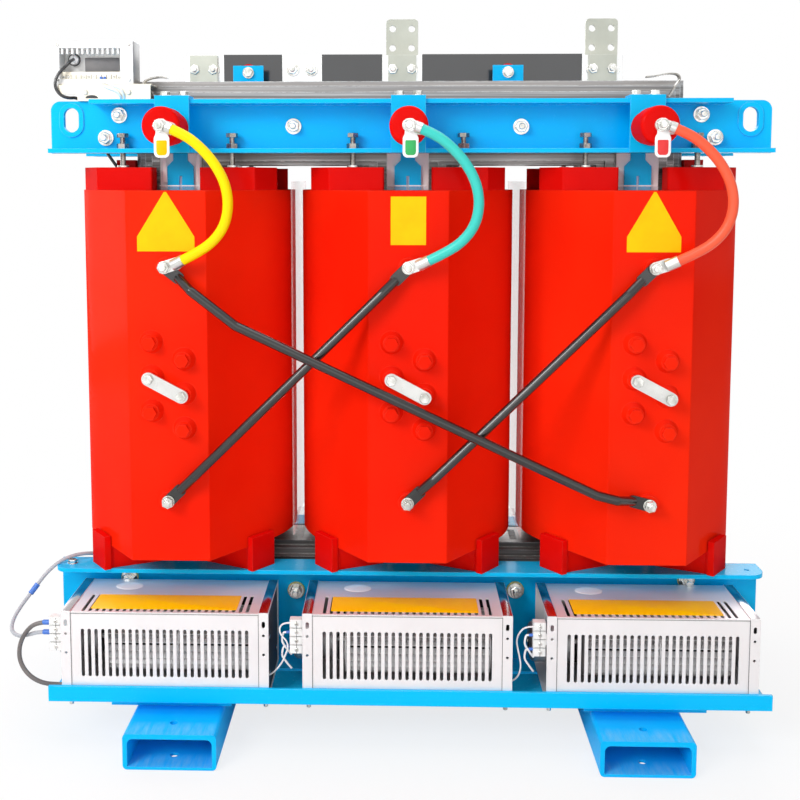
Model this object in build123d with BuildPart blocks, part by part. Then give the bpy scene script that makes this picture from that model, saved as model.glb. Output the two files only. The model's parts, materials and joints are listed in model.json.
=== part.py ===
from build123d import *
import os
from math import acos, atan2, cos, degrees, hypot, radians, sin, tan

os.makedirs("parts", exist_ok=True)

# Three-phase cast-resin dry-type power transformer, in millimetres.
# The frame's origin is on the floor, under the middle of the core.
# X runs along the three coils, -Y is the high-voltage front, +Z is up.

# Feet, pads and fan rails
foot_spacing = 820
foot_width = 163
foot_height = 64
foot_length = 744
foot_wall = 8
foot_top_wall = 9
foot_base = 5
foot_corner = 10
foot_bolt_spacing = 660
foot_bolt_hole = 14
pad_thickness = 22
pad_outward = 45
pad_inward = 11
pad_length = 190
pad_setback = 30
rail_length = 1282
rail_front = 302
rail_leg = 120
rail_height = 28
rail_thickness = 6

# Core: a stepped stack of sheets with one round envelope
phase_pitch = 428
core_widths = [190, 170, 145, 115, 80]
core_envelope = 212
window_bottom = 300
window_height = 713
top_yoke_flat = 1043

# Clamps: channels that open outwards, front and rear
clamp_gap = 10
clamp_web = 8
clamp_flange = 55
clamp_plate = 8
lower_clamp_length = 1336
lower_clamp_height = 197
lower_flange_plate = 6
upper_clamp_length = 1336
upper_clamp_height = 97
upper_clamp_bottom = 1064
upper_top_flange_length = 1162
upper_bottom_flange_length = 1316
lug_hole_width = 28
lug_hole_height = 45
lug_hole_x = 629
lug_hole_z = 1126
lug_corner = 18
flange_corner = 26
flange_end_hole = 9
flange_end_hole_inset = 28
lug_rim = 9
lug_rim_height = 3
lower_flange_inset = 30

# Insulating boards and the tie plates on each limb
board_thickness = 2
limb_board_width = 78
yoke_board_inset = 50
tie_width = 50
tie_neck_width = 27
tie_thickness = 6
tie_shoulder_z = 1040
tie_slot_width = 5
tie_slot_top = 1022
tie_slot_length = 60
tie_foot = 30
limb_board_overlap = 60
barrier_thickness = 3
barrier_depth = 300
barrier_bottom = 345
barrier_top = 1012
barrier_foot = 14
barrier_foot_depth = 60

# Coils
coil_bottom = 327
coil_height = 669
hv_outer_radius = 206
hv_inner_radius = 160
lv_outer_radius = 146
lv_inner_radius = 118
face_distance = 246
face_half_width = 71
face_corner = 3

# Fittings on each coil's front face
tap_column = 29
tap_row = 62.5
tap_left_top = 728
tap_drop = 31
tap_base_radius = 21
tap_top_radius = 15
tap_height = 16
tap_head_radius = 12.5
tap_head_height = 10
upper_terminal_z = 862
lower_terminal_z = 441
terminal_radius = 17
terminal_height = 12
stud_radius = 6
stud_length = 34
link_width = 24
link_thickness = 5

# Resin blocks between the coils and the clamp flanges
block_plan = [(44, 126), (128, 166), (163, 130), (98, 84), (44, 106)]
top_block_plan = [(44, 150), (146, 150), (184, 100), (156, 84), (98, 90), (44, 108)]
block_lip_foot = [(124, 162), (159, 126), (175, 134.5), (139.5, 180.5)]
block_lip_plan = [(129.5, 173), (165, 127), (175, 134.5), (139.5, 180.5)]
block_lip_rise = 20
block_corner = 4
pressure_gap = 26
packing_width = 36
packing_depth = 124
packing_height = 57
packing_gap = 1

# High-voltage post insulators on their straps
strap_width = 63
strap_thickness = 6
strap_reach = 40
insulator_radius = 33.5
insulator_base = 30
insulator_waist = 28.5
insulator_length = 98
insulator_corner = 6
insulator_z = 1108

# Delta links and phase leads
delta_diameter = 17
rod_spacing = 3
jog_length = 34
delta_bends = [(-300, 762), (330, 466)]
lug_length = 30
lug_thickness = 4
lug_width = 22
lug_clearance = 0.3
lead_diameter = 18
barrel_diameter = 20
barrel_lengths = (10, 22)
barrel_overlap = 6

# Low-voltage bars at the rear
bar_y = 222
bar_thickness = 8
bar_height = 59
bar_bottom = 1223
bar_shift = -10
plate_length = 86
neutral_plate_x = -226
sleeve_thickness = 2
tab_width = 69
tab_rise = 78
tab_gap = 4
tab_corner = 9
tab_hole = 14
tab_hole_spacing = 41
tab_hole_z = 1319
lead_bar_width = 60
lead_bar_thickness = 8
neutral_foot_y = 120
neutral_level = 30
phase_foot_y = 136
phase_level = 6
post_radius = 19
post_x = (-335, 212)
post_z = 1240
bracket_width = 64
bracket_top = 1255
bracket_thickness = 6
bracket_reach = 45

# Thermometer and terminal box on the left end
box_left = -658
box_width = 147
box_height = 79
box_depth = 50
box_bottom = 1193
box_front = 118
box_frame = 9
box_recess = 34
box_side_frame = 24
box_top_frame = 13
comb_teeth = 12
comb_height = 11
comb_depth = 8
comb_tooth = 4
comb_setback = 2
terminal_strip_height = 18
terminal_strip_depth = 14
shelf_thickness = 3
shelf_inset = 6
shelf_length = 174
shelf_lip = 4
shelf_back = 8
shelf_notch = 37
shelf_front_drop = 16

# Cables of the fans and of the sensors
fan_cable_diameter = 8
link_cable_diameter = 7
sensor_cable_diameter = 6
fan_wire_diameter = 3

# Cross-flow fans
fan_centres = (-432, 0, 432)
fan_length = 372
fan_depth = 163
fan_height = 158
fan_sheet = 2
fan_step = 1
fan_rim = 18
rim_slot_z = 229
rim_holes_z = (209, 174)
rim_hole = 5
rim_slot_width = 6
rim_slot_height = 12
rim_screw_y = 165
fan_slot_count = 25
fan_slot_width = 6
fan_slot_span = 300
fan_slot_bottom = 38
fan_slot_height = 88
fan_top_slot_inset = 6
fan_top_slot_depth = 78
rotor_radius = 58
rotor_length = 262
rotor_blades = 24
rotor_blade_depth = 12
rotor_blade_thickness = 1.6
rotor_disc = 2
rotor_offset = 19
shaft_radius = 4
shaft_clearance = 0.3
bearing_radius = 12
bearing_length = 8
motor_radius = 36
motor_inside = 34
motor_outside = 40
motor_dome = 10
fan_block_width = 22
fan_block_depth = 16
fan_block_height = 62
fan_block_bottom = 174
fan_block_setback = 8
fan_block_ways = 4
fan_block_groove = 2
fan_block_foot = 20

# Places worked out from the sizes
core_depths = [round((core_envelope ** 2 - w ** 2) ** 0.5 / 2, 1) for w in core_widths]
core_half_depth = core_depths[-1]
yoke_height = core_widths[0]
bottom_yoke_z = window_bottom - yoke_height / 2
top_yoke_z = window_bottom + window_height + yoke_height / 2
phase_x = [-phase_pitch, 0, phase_pitch]
yoke_board_spans = [
    (-phase_pitch + yoke_board_inset, -yoke_board_inset),
    (yoke_board_inset, phase_pitch - yoke_board_inset),
]
coil_top = coil_bottom + coil_height
web_inner = core_half_depth + clamp_gap
web_outer = web_inner + clamp_web
flange_edge = web_outer + clamp_flange
pad_top = foot_height + pad_thickness
lower_clamp_top = pad_top + lower_clamp_height
upper_clamp_top = upper_clamp_bottom + upper_clamp_height
fan_bottom = pad_top + rail_thickness
fan_front = rail_front - rail_thickness
fan_middle_y = fan_front - fan_depth / 2
fan_middle_z = fan_bottom + fan_height / 2
strap_front = flange_edge + strap_thickness
insulator_front = strap_front + insulator_length


def write(solid, name):
    """Labels one finished sub-part and writes it to its file."""
    solid.part.label = name
    export_step(solid.part, f"parts/{name}.step")


def box_between(low, high, mode=Mode.ADD):
    """A plain block between two corners, inside the open part."""
    size = [b - a for a, b in zip(low, high)]
    with Locations(tuple(low)):
        Box(*size, align=(Align.MIN, Align.MIN, Align.MIN), mode=mode)


# Feet: steel channels closed by a bottom plate, open at both ends
for side, foot_name in ((-1, "foot_left"), (1, "foot_right")):
    centre = side * foot_spacing / 2
    with BuildPart() as foot:
        with BuildSketch(Plane.XZ.offset(-foot_length / 2)):
            with Locations((centre, foot_height / 2)):
                Rectangle(foot_width, foot_height)
        extrude(amount=foot_length)
        fillet(foot.edges().filter_by(Axis.Y), foot_wall)
        with BuildSketch(Plane.XZ.offset(-foot_length / 2)) as bore:
            with Locations((centre, (foot_height - foot_top_wall + foot_base) / 2)):
                Rectangle(foot_width - 2 * foot_wall, foot_height - foot_top_wall - foot_base)
            fillet(bore.vertices().group_by(Axis.Y)[-1], foot_corner)
        extrude(amount=foot_length, mode=Mode.SUBTRACT)
        with Locations((centre, 0, foot_height / 2)):
            with GridLocations(foot_width, foot_bolt_spacing, 1, 2):
                Cylinder(foot_bolt_hole / 2, 2 * foot_height, mode=Mode.SUBTRACT)
    write(foot, foot_name)

# Pads that carry the clamps and the rails on the feet
with BuildPart() as pads:
    for side in (-1, 1):
        outer = side * (foot_spacing / 2 + foot_width / 2 + pad_outward)
        inner = side * (foot_spacing / 2 - foot_width / 2 - pad_inward)
        for end in (-1, 1):
            near = end * (web_inner - pad_setback)
            far = end * (web_inner - pad_setback + pad_length)
            low = (min(outer, inner), min(near, far), foot_height)
            high = (max(outer, inner), max(near, far), pad_top)
            box_between(low, high)
write(pads, "foot_pads")

# Fan rails: long angles, one leg up at the outer edge
for end, rail_name in ((-1, "fan_rail_front"), (1, "fan_rail_rear")):
    with BuildPart() as rail:
        with BuildSketch(Plane.YZ.offset(-rail_length / 2)):
            with BuildLine():
                Polyline(
                    (end * rail_front, pad_top),
                    (end * rail_front, pad_top + rail_height),
                    (end * (rail_front - rail_thickness), pad_top + rail_height),
                    (end * (rail_front - rail_thickness), pad_top + rail_thickness),
                    (end * (rail_front - rail_leg), pad_top + rail_thickness),
                    (end * (rail_front - rail_leg), pad_top),
                    close=True,
                )
            make_face()
        extrude(amount=rail_length)
    write(rail, rail_name)

# Lower clamps: deep channels with rounded flange ends
for end, clamp_name in ((-1, "lower_clamp_front"), (1, "lower_clamp_rear")):
    with BuildPart() as clamp:
        half = lower_clamp_length / 2
        web = sorted((end * web_inner, end * web_outer))
        box_between((-half, web[0], pad_top), (half, web[1], lower_clamp_top))
        flange_y = end * (web_inner + flange_edge) / 2
        flange_span = flange_edge - web_inner
        with BuildSketch(Plane.XY.offset(lower_clamp_top - clamp_plate)) as top_flange:
            with Locations((0, flange_y)):
                Rectangle(lower_clamp_length, flange_span)
            outer = sorted(top_flange.vertices(), key=lambda v: -end * v.Y)[:2]
            fillet(outer, flange_corner)
            with Locations((0, end * (flange_edge - flange_end_hole_inset))):
                with GridLocations(lower_clamp_length - 2 * flange_end_hole_inset, 1, 2, 1):
                    Circle(flange_end_hole / 2, mode=Mode.SUBTRACT)
        extrude(amount=clamp_plate)
        base = sorted((end * web_inner, end * flange_edge))
        reach = half - lower_flange_inset
        box_between((-reach, base[0], pad_top), (reach, base[1], pad_top + lower_flange_plate))
    write(clamp, clamp_name)


def stepped_bar(widths, depths, middle_z, length_of):
    """Stacks the core's packets, each with its own height and length."""
    for width, depth in zip(widths, depths):
        reach = length_of(width)
        low = (-reach, -depth, middle_z - width / 2)
        high = (reach, depth, middle_z + width / 2)
        box_between(low, high)


# Core yokes and limbs
for middle_z, yoke_name in ((bottom_yoke_z, "bottom_yoke"), (top_yoke_z, "top_yoke")):
    with BuildPart() as yoke:
        stepped_bar(core_widths, core_depths, middle_z, lambda w: phase_pitch + w / 2)
        if yoke_name == "top_yoke":
            reach = phase_pitch + core_widths[0]
            low = (-reach, -core_envelope, window_bottom + window_height)
            box_between(low, (reach, core_envelope, top_yoke_flat), mode=Mode.SUBTRACT)
    write(yoke, yoke_name)

with BuildPart() as limbs:
    for x in phase_x:
        inner_depth = 0
        for width, depth in zip(core_widths, core_depths):
            for near, far in ((-depth, -inner_depth), (inner_depth, depth)):
                low = (x - width / 2, near, bottom_yoke_z + width / 2)
                high = (x + width / 2, far, max(top_yoke_flat, top_yoke_z - width / 2))
                box_between(low, high)
            inner_depth = depth
write(limbs, "core_limbs")

# Insulating boards: strips on the limbs and pads between the yokes and the clamps
with BuildPart() as limb_boards:
    for end in (-1, 1):
        near, far = sorted((end * core_half_depth, end * (core_half_depth + board_thickness)))
        for x in phase_x:
            low = (x - limb_board_width / 2, near, lower_clamp_top - limb_board_overlap)
            high = (x + limb_board_width / 2, far, upper_clamp_bottom + limb_board_overlap)
            box_between(low, high)
write(limb_boards, "limb_boards")

with BuildPart() as yoke_boards:
    for middle_z in (bottom_yoke_z, top_yoke_z):
        for end in (-1, 1):
            near, far = sorted((end * core_half_depth, end * web_inner))
            half = core_widths[-1] / 2
            for a, b in yoke_board_spans:
                box_between((a, near, middle_z - half), (b, far, middle_z + half))
write(yoke_boards, "yoke_boards")

# Barriers between the phases: thin boards on feet that stand on the bottom yoke
with BuildPart() as barriers:
    for x in (-phase_pitch / 2, phase_pitch / 2):
        low = (x - barrier_thickness / 2, -barrier_depth / 2, barrier_bottom)
        high = (x + barrier_thickness / 2, barrier_depth / 2, barrier_top)
        box_between(low, high)
        low = (x - barrier_foot / 2, -barrier_foot_depth / 2, window_bottom)
        high = (x + barrier_foot / 2, barrier_foot_depth / 2, barrier_bottom)
        box_between(low, high)
write(barriers, "phase_barriers")

# Tie plates: flat bars against each limb, with a narrow slot and a neck at the top
with BuildPart() as ties:
    for end in (-1, 1):
        face = end * (core_half_depth + board_thickness)
        for x in phase_x:
            top = upper_clamp_top - clamp_plate
            shoulder = (tie_width - tie_neck_width) / 2
            with BuildSketch(Plane.XZ.offset(-face)):
                with BuildLine():
                    Polyline(
                        (x - tie_width / 2, pad_top + tie_foot),
                        (x - tie_width / 2, tie_shoulder_z),
                        (x - tie_neck_width / 2, tie_shoulder_z + shoulder),
                        (x - tie_neck_width / 2, top),
                        (x + tie_neck_width / 2, top),
                        (x + tie_neck_width / 2, tie_shoulder_z + shoulder),
                        (x + tie_width / 2, tie_shoulder_z),
                        (x + tie_width / 2, pad_top + tie_foot),
                        close=True,
                    )
                make_face()
                with Locations((x, tie_slot_top - tie_slot_length / 2)):
                    Rectangle(tie_slot_width, tie_slot_length, mode=Mode.SUBTRACT)
            extrude(amount=-end * tie_thickness)
write(ties, "tie_plates")

# Upper clamps: channels with lifting holes in the ends of the web
for end, clamp_name in ((-1, "upper_clamp_front"), (1, "upper_clamp_rear")):
    with BuildPart() as clamp:
        with BuildSketch(Plane.XZ.offset(-end * web_inner)) as web_face:
            with Locations((0, upper_clamp_bottom + upper_clamp_height / 2)):
                Rectangle(upper_clamp_length, upper_clamp_height)
            fillet(web_face.vertices().group_by(Axis.Y)[-1], lug_corner)
            with Locations((-lug_hole_x, lug_hole_z), (lug_hole_x, lug_hole_z)):
                SlotOverall(lug_hole_height, lug_hole_width, rotation=90, mode=Mode.SUBTRACT)
        extrude(amount=-end * clamp_web)
        with BuildSketch(Plane.XZ.offset(-end * web_outer)):
            with Locations((-lug_hole_x, lug_hole_z), (lug_hole_x, lug_hole_z)):
                SlotOverall(lug_hole_height + 2 * lug_rim, lug_hole_width + 2 * lug_rim, rotation=90)
                SlotOverall(lug_hole_height, lug_hole_width, rotation=90, mode=Mode.SUBTRACT)
        extrude(amount=-end * lug_rim_height)
        for low_z, length in (
            (upper_clamp_bottom, upper_bottom_flange_length),
            (upper_clamp_top - clamp_plate, upper_top_flange_length),
        ):
            span = sorted((end * web_inner, end * flange_edge))
            box_between((-length / 2, span[0], low_z), (length / 2, span[1], low_z + clamp_plate))
    write(clamp, clamp_name)

# High-voltage coils: cast cylinders with a flat-fronted tapping box
face_reach = hypot(face_half_width, face_distance)
tangent_angle = degrees(atan2(face_half_width, face_distance) + acos(hv_outer_radius / face_reach))
tangent_point = (
    hv_outer_radius * sin(radians(tangent_angle)),
    -hv_outer_radius * cos(radians(tangent_angle)),
)
tap_places = [(-tap_column, tap_left_top - row * tap_row) for row in range(3)]
tap_places += [(tap_column, tap_left_top - tap_drop - row * tap_row) for row in range(3)]
for x, phase in zip(phase_x, "abc"):
    with BuildPart() as coil:
        with BuildSketch(Plane.XY.offset(coil_bottom)):
            with Locations((x, 0)):
                Circle(hv_outer_radius)
            with BuildLine():
                Polyline(
                    (x - face_half_width, -face_distance),
                    (x + face_half_width, -face_distance),
                    (x + tangent_point[0], tangent_point[1]),
                    (x, 0),
                    (x - tangent_point[0], tangent_point[1]),
                    close=True,
                )
            make_face()
            with Locations((x, 0)):
                Circle(hv_inner_radius, mode=Mode.SUBTRACT)
        extrude(amount=coil_height)
        front_corners = coil.edges().filter_by(Axis.Z).group_by(Axis.Y)[0]
        fillet(front_corners, face_corner)
        face = Plane.XZ.offset(face_distance)
        for dx, z in tap_places:
            with BuildSketch(face):
                with Locations((x + dx, z)):
                    Circle(tap_base_radius)
            with BuildSketch(face.offset(tap_height)):
                with Locations((x + dx, z)):
                    Circle(tap_top_radius)
            loft()
            with BuildSketch(face.offset(tap_height)):
                with Locations((x + dx, z)):
                    RegularPolygon(tap_head_radius, 6)
            extrude(amount=tap_head_height)
        for z in (upper_terminal_z, lower_terminal_z):
            with BuildSketch(face):
                with Locations((x, z)):
                    Circle(terminal_radius)
            extrude(amount=terminal_height)
            with BuildSketch(face):
                with Locations((x, z)):
                    Circle(stud_radius)
            extrude(amount=stud_length)
    write(coil, f"hv_coil_{phase}")

# Low-voltage coils: plain foil cylinders inside the cast ones
with BuildPart() as lv_coils:
    for x in phase_x:
        with BuildSketch(Plane.XY.offset(coil_bottom)):
            with Locations((x, 0)):
                Circle(lv_outer_radius)
                Circle(lv_inner_radius, mode=Mode.SUBTRACT)
        extrude(amount=coil_height)
write(lv_coils, "lv_coils")

# Resin blocks, four above and four below each coil, and a packing beyond each end of the top yoke
for low_z, high_z, block_outline, blocks_name in (
    (coil_top, upper_clamp_bottom - pressure_gap, top_block_plan, "top_blocks"),
    (lower_clamp_top, coil_bottom, block_plan, "bottom_blocks"),
):
    with BuildPart() as blocks:
        for x in phase_x:
            for side in (-1, 1):
                for end in (-1, 1):
                    with BuildSketch(Plane.XY.offset(low_z)):
                        with BuildLine():
                            Polyline([(x + side * a, end * b) for a, b in block_outline], close=True)
                        make_face()
                    extrude(amount=high_z - low_z)
        fillet(blocks.edges().filter_by(Axis.Z), block_corner)
        if blocks_name == "bottom_blocks":
            for x, side, end in [(x, side, end) for x in phase_x for side in (-1, 1) for end in (-1, 1)]:
                for plan, rise in ((block_lip_foot, 0), (block_lip_plan, block_lip_rise)):
                    with BuildSketch(Plane.XY.offset(low_z)):
                        with BuildLine():
                            Polyline([(x + side * a, end * b) for a, b in plan], close=True)
                        make_face()
                    extrude(amount=high_z - low_z + rise)
        else:
            for side in (-1, 1):
                near = side * (phase_pitch + core_widths[0] / 2 + packing_gap)
                far = near + side * packing_width
                low = (min(near, far), -packing_depth / 2, coil_top)
                high = (max(near, far), packing_depth / 2, coil_top + packing_height)
                box_between(low, high)
    write(blocks, blocks_name)

# Straps over the front clamp, and the post insulators on them
with BuildPart() as straps:
    for x in phase_x:
        top = upper_clamp_top
        low_x, high_x = x - strap_width / 2, x + strap_width / 2
        box_between((low_x, -strap_front, upper_clamp_bottom), (high_x, -flange_edge, top + strap_thickness))
        box_between((low_x, -flange_edge, top), (high_x, -flange_edge + strap_reach, top + strap_thickness))
write(straps, "insulator_straps")

insulator_profile = [
    (strap_front, 0),
    (strap_front, insulator_base),
    (strap_front + 0.2 * insulator_length, insulator_base),
    (strap_front + 0.3 * insulator_length, insulator_waist),
    (strap_front + 0.4 * insulator_length, insulator_radius),
    (insulator_front, insulator_radius),
    (insulator_front, 0),
]
for x, phase in zip(phase_x, "abc"):
    with BuildPart() as insulator:
        middle = Plane(origin=(x, 0, insulator_z), x_dir=(0, -1, 0), z_dir=(-1, 0, 0))
        with BuildSketch(middle) as half_section:
            with BuildLine():
                Polyline(*insulator_profile, close=True)
            make_face()
            rim = half_section.vertices().filter_by(lambda v: v.Y > insulator_base)
            fillet(rim, insulator_corner)
        revolve(axis=Axis((x, 0, insulator_z), (0, -1, 0)))
        with BuildSketch(Plane.XZ.offset(insulator_front)):
            with Locations((x, insulator_z)):
                Circle(stud_radius)
        extrude(amount=stud_length - terminal_height)
    write(insulator, f"hv_insulator_{phase}")

# Tap links: short bars across the middle taps
with BuildPart() as tap_links:
    for x in phase_x:
        start = Vector(x - tap_column, tap_left_top - tap_row)
        finish = Vector(x + tap_column, tap_left_top - tap_drop - tap_row)
        run = finish - start
        middle = (start + finish) / 2
        turn = degrees(atan2(run.Y, run.X))
        with BuildSketch(Plane.XZ.offset(face_distance + tap_height + tap_head_height)):
            with Locations((middle.X, middle.Y)):
                SlotCenterToCenter(run.length, link_width, rotation=turn)
        extrude(amount=link_thickness)
write(tap_links, "tap_links")

# Delta links: insulated rods from one coil's top terminal to another's bottom one
boss_face = face_distance + terminal_height


def flat_lug(place, toward, near, far):
    """A flat lug with a bolt hole, from a stud towards the cable or rod it ends."""
    start = Vector(place[0], place[1])
    finish = Vector(toward[0], toward[1])
    run = finish - start
    middle = (start + finish) / 2
    turn = degrees(atan2(run.Y, run.X))
    with BuildSketch(Plane.XZ.offset(near)) as lug:
        with Locations((middle.X, middle.Y)):
            SlotCenterToCenter(run.length, lug_width, rotation=turn)
        with Locations((start.X, start.Y)):
            Circle(stud_radius + lug_clearance, mode=Mode.SUBTRACT)
    extrude(lug.sketch, amount=far - near)


def round_bar(points, diameter):
    """Straight round lengths joined by ball corners."""
    corners = [Vector(*p) for p in points]
    for p, q in zip(corners, corners[1:]):
        with BuildSketch(Plane(origin=p, z_dir=q - p)) as section:
            Circle(diameter / 2)
        extrude(section.sketch, amount=(q - p).length)
    for p in corners[1:-1]:
        with Locations(p):
            Sphere(diameter / 2)


def delta_rod(start, finish, layer, bends):
    """One rod: a lug at each end, a jog out to its layer, and its own bends."""
    route = [Vector(*start)] + [Vector(*p) for p in bends] + [Vector(*finish)]
    heading = (route[1] - route[0]).normalized()
    leaving = (route[-2] - route[-1]).normalized()
    lug_y = boss_face + lug_thickness / 2
    first, first_out = route[0] + heading * lug_length, route[0] + heading * (lug_length + jog_length)
    last, last_out = route[-1] + leaving * lug_length, route[-1] + leaving * (lug_length + jog_length)
    points = [(first.X, -lug_y, first.Y), (first_out.X, -layer, first_out.Y)]
    points += [(p.X, -layer, p.Y) for p in route[1:-1]]
    points += [(last_out.X, -layer, last_out.Y), (last.X, -lug_y, last.Y)]
    round_bar(points, delta_diameter)
    for place, inner in ((route[0], first), (route[-1], last)):
        flat_lug((place.X, place.Y), (inner.X, inner.Y), boss_face, boss_face + lug_thickness)


back_layer = boss_face + delta_diameter / 2
front_layer = back_layer + delta_diameter + rod_spacing
links = (
    ("delta_link_a_c", -phase_pitch, phase_pitch, front_layer, delta_bends),
    ("delta_link_b_a", 0, -phase_pitch, back_layer, []),
    ("delta_link_c_b", phase_pitch, 0, back_layer, []),
)
for name, start_x, finish_x, layer, bends in links:
    with BuildPart() as rod:
        delta_rod((start_x, upper_terminal_z), (finish_x, lower_terminal_z), layer, bends)
    write(rod, name)

# Phase leads: thick flexible cable from each insulator to its coil's top terminal
lead_route = [
    (22, -289, 1101),
    (46, -292, 1091),
    (72, -295, 1071),
    (97, -297, 1043),
    (115, -298, 1009),
    (120.5, -299, 972),
    (113, -296, 937),
    (92, -290, 909),
    (64, -283, 890),
    (36, -276, 876),
]


def tube_along(points, diameter):
    """Sweeps a round cable along straight runs joined by the largest arcs that fit."""
    corners = [Vector(*p) for p in points]
    radii = []
    for before, corner, after in zip(corners, corners[1:], corners[2:]):
        turn = (corner - before).get_angle(after - corner)
        shorter = min((corner - before).length, (after - corner).length)
        radii.append(0.45 * shorter / tan(radians(turn / 2)))
    print("bend radii", [round(r) for r in radii])
    with BuildLine() as path:
        FilletPolyline(*corners, radius=radii)
    with BuildSketch(Plane(origin=path.line @ 0, z_dir=path.line % 0)) as section:
        Circle(diameter / 2)
    sweep(section.sketch, path=path.line)


for x, phase in zip(phase_x, "abc"):
    with BuildPart() as lead:
        tube_along([(x + a, b, c) for a, b, c in lead_route], lead_diameter)
    write(lead, f"phase_lead_{phase}")

# Lugs at both ends of each phase lead: a flat with a hole and a barrel for the cable
with BuildPart() as lead_lugs:
    for x in phase_x:
        for mouth, beyond, stud_z, near, barrel_length in (
            (lead_route[0], lead_route[1], insulator_z, insulator_front, barrel_lengths[0]),
            (lead_route[-1], lead_route[-2], upper_terminal_z, boss_face + lug_thickness, barrel_lengths[1]),
        ):
            end = Vector(x + mouth[0], mouth[1], mouth[2])
            along = (Vector(x + beyond[0], beyond[1], beyond[2]) - end).normalized()
            root = end - along * barrel_length
            with BuildSketch(Plane(origin=root, z_dir=along)):
                Circle(barrel_diameter / 2)
            extrude(amount=barrel_length)
            flat_end = root + along * barrel_overlap
            flat_lug((x, stud_z), (flat_end.X, flat_end.Z), near, near + lug_thickness)
write(lead_lugs, "lead_lugs")

# Neutral bar: one long bar on edge, insulated between its four bare plates
plate_centres = [bar_shift - phase_pitch, neutral_plate_x, bar_shift, bar_shift + phase_pitch]
with BuildPart() as neutral_bar:
    left = plate_centres[0] - plate_length / 2
    right = plate_centres[-1] + plate_length / 2
    box_between((left, bar_y, bar_bottom), (right, bar_y + bar_thickness, bar_bottom + bar_height))
write(neutral_bar, "neutral_bar")

with BuildPart() as sleeves:
    for a, b in zip(plate_centres, plate_centres[1:]):
        low_x, high_x = a + plate_length / 2, b - plate_length / 2
        low = (low_x, bar_y - sleeve_thickness, bar_bottom - sleeve_thickness)
        high = (high_x, bar_y + bar_thickness + sleeve_thickness, bar_bottom + bar_height + sleeve_thickness)
        box_between(low, high)
        core_low = (low_x, bar_y, bar_bottom)
        core_high = (high_x, bar_y + bar_thickness, bar_bottom + bar_height)
        box_between(core_low, core_high, mode=Mode.SUBTRACT)
write(sleeves, "bar_sleeves")

# Winding leads: flat bars bent out over the cast coils and up at the rear
def bent_lead(centre, foot_y, level, riser_y, top):
    """A flat bar that leaves the coil's top, runs out at its level and rises."""
    low_x, high_x = centre - lead_bar_width / 2, centre + lead_bar_width / 2
    plate = lead_bar_thickness
    box_between((low_x, foot_y, coil_top), (high_x, foot_y + plate, level + plate))
    box_between((low_x, foot_y, level), (high_x, riser_y + plate, level + plate))
    box_between((low_x, riser_y, level), (high_x, riser_y + plate, top))


bar_top = bar_bottom + bar_height
with BuildPart() as neutral_leads:
    for x in phase_x:
        bent_lead(x + bar_shift, neutral_foot_y, coil_top + neutral_level, bar_y - lead_bar_thickness, bar_top)
write(neutral_leads, "neutral_leads")

# Phase leads of the low-voltage side: two of them end in upright tabs with four holes
tab_y = bar_y + bar_thickness + tab_gap
with BuildPart() as phase_bars:
    for x in phase_x:
        centre = x + bar_shift
        bent_lead(centre, phase_foot_y, coil_top + phase_level, tab_y, bar_top)
    for x in phase_x[1:]:
        centre = x + bar_shift
        with BuildSketch(Plane.XZ.offset(-tab_y - lead_bar_thickness)) as tab_face:
            with Locations((centre, (bar_bottom + bar_top + tab_rise) / 2)):
                Rectangle(tab_width, bar_height + tab_rise)
            fillet(tab_face.vertices().group_by(Axis.Y)[-1], tab_corner)
            with Locations((centre, tab_hole_z)):
                with GridLocations(tab_hole_spacing, tab_hole_spacing, 2, 2):
                    Circle(tab_hole / 2, mode=Mode.SUBTRACT)
        extrude(amount=lead_bar_thickness)
write(phase_bars, "lv_phase_bars")

# Supports of the neutral bar: brackets on the rear clamp and short resin posts
with BuildPart() as brackets:
    for x in post_x:
        low_x, high_x = x - bracket_width / 2, x + bracket_width / 2
        low_y = flange_edge - bracket_thickness
        box_between((low_x, low_y, upper_clamp_top), (high_x, flange_edge, bracket_top))
        low_y = flange_edge - bracket_reach
        box_between((low_x, low_y, upper_clamp_top), (high_x, flange_edge, upper_clamp_top + bracket_thickness))
write(brackets, "bar_brackets")

with BuildPart() as posts:
    for x in post_x:
        with BuildSketch(Plane.XZ.offset(-(bar_y - sleeve_thickness))):
            with Locations((x, post_z)):
                Circle(post_radius)
        extrude(amount=bar_y - sleeve_thickness - flange_edge)
write(posts, "bar_posts")

# Thermometer box on its shelf: a case with a window, a comb of blades above and terminals below
with BuildPart() as shelf:
    low_x, high_x = box_left + shelf_inset, box_left + shelf_inset + shelf_length
    plate_y = -web_outer - shelf_back
    plate_low = box_bottom - shelf_thickness
    foot_x = low_x + shelf_notch
    box_between((low_x, plate_y, plate_low - shelf_front_drop), (foot_x, plate_y + shelf_thickness, plate_low))
    box_between((foot_x, plate_y, upper_clamp_top), (high_x, plate_y + shelf_thickness, plate_low))
    box_between((foot_x, plate_y, upper_clamp_top), (high_x, -web_inner, upper_clamp_top + shelf_thickness))
    box_between((low_x, -box_front, plate_low), (high_x, -box_front + box_depth + shelf_lip, box_bottom))
write(shelf, "box_shelf")

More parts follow.
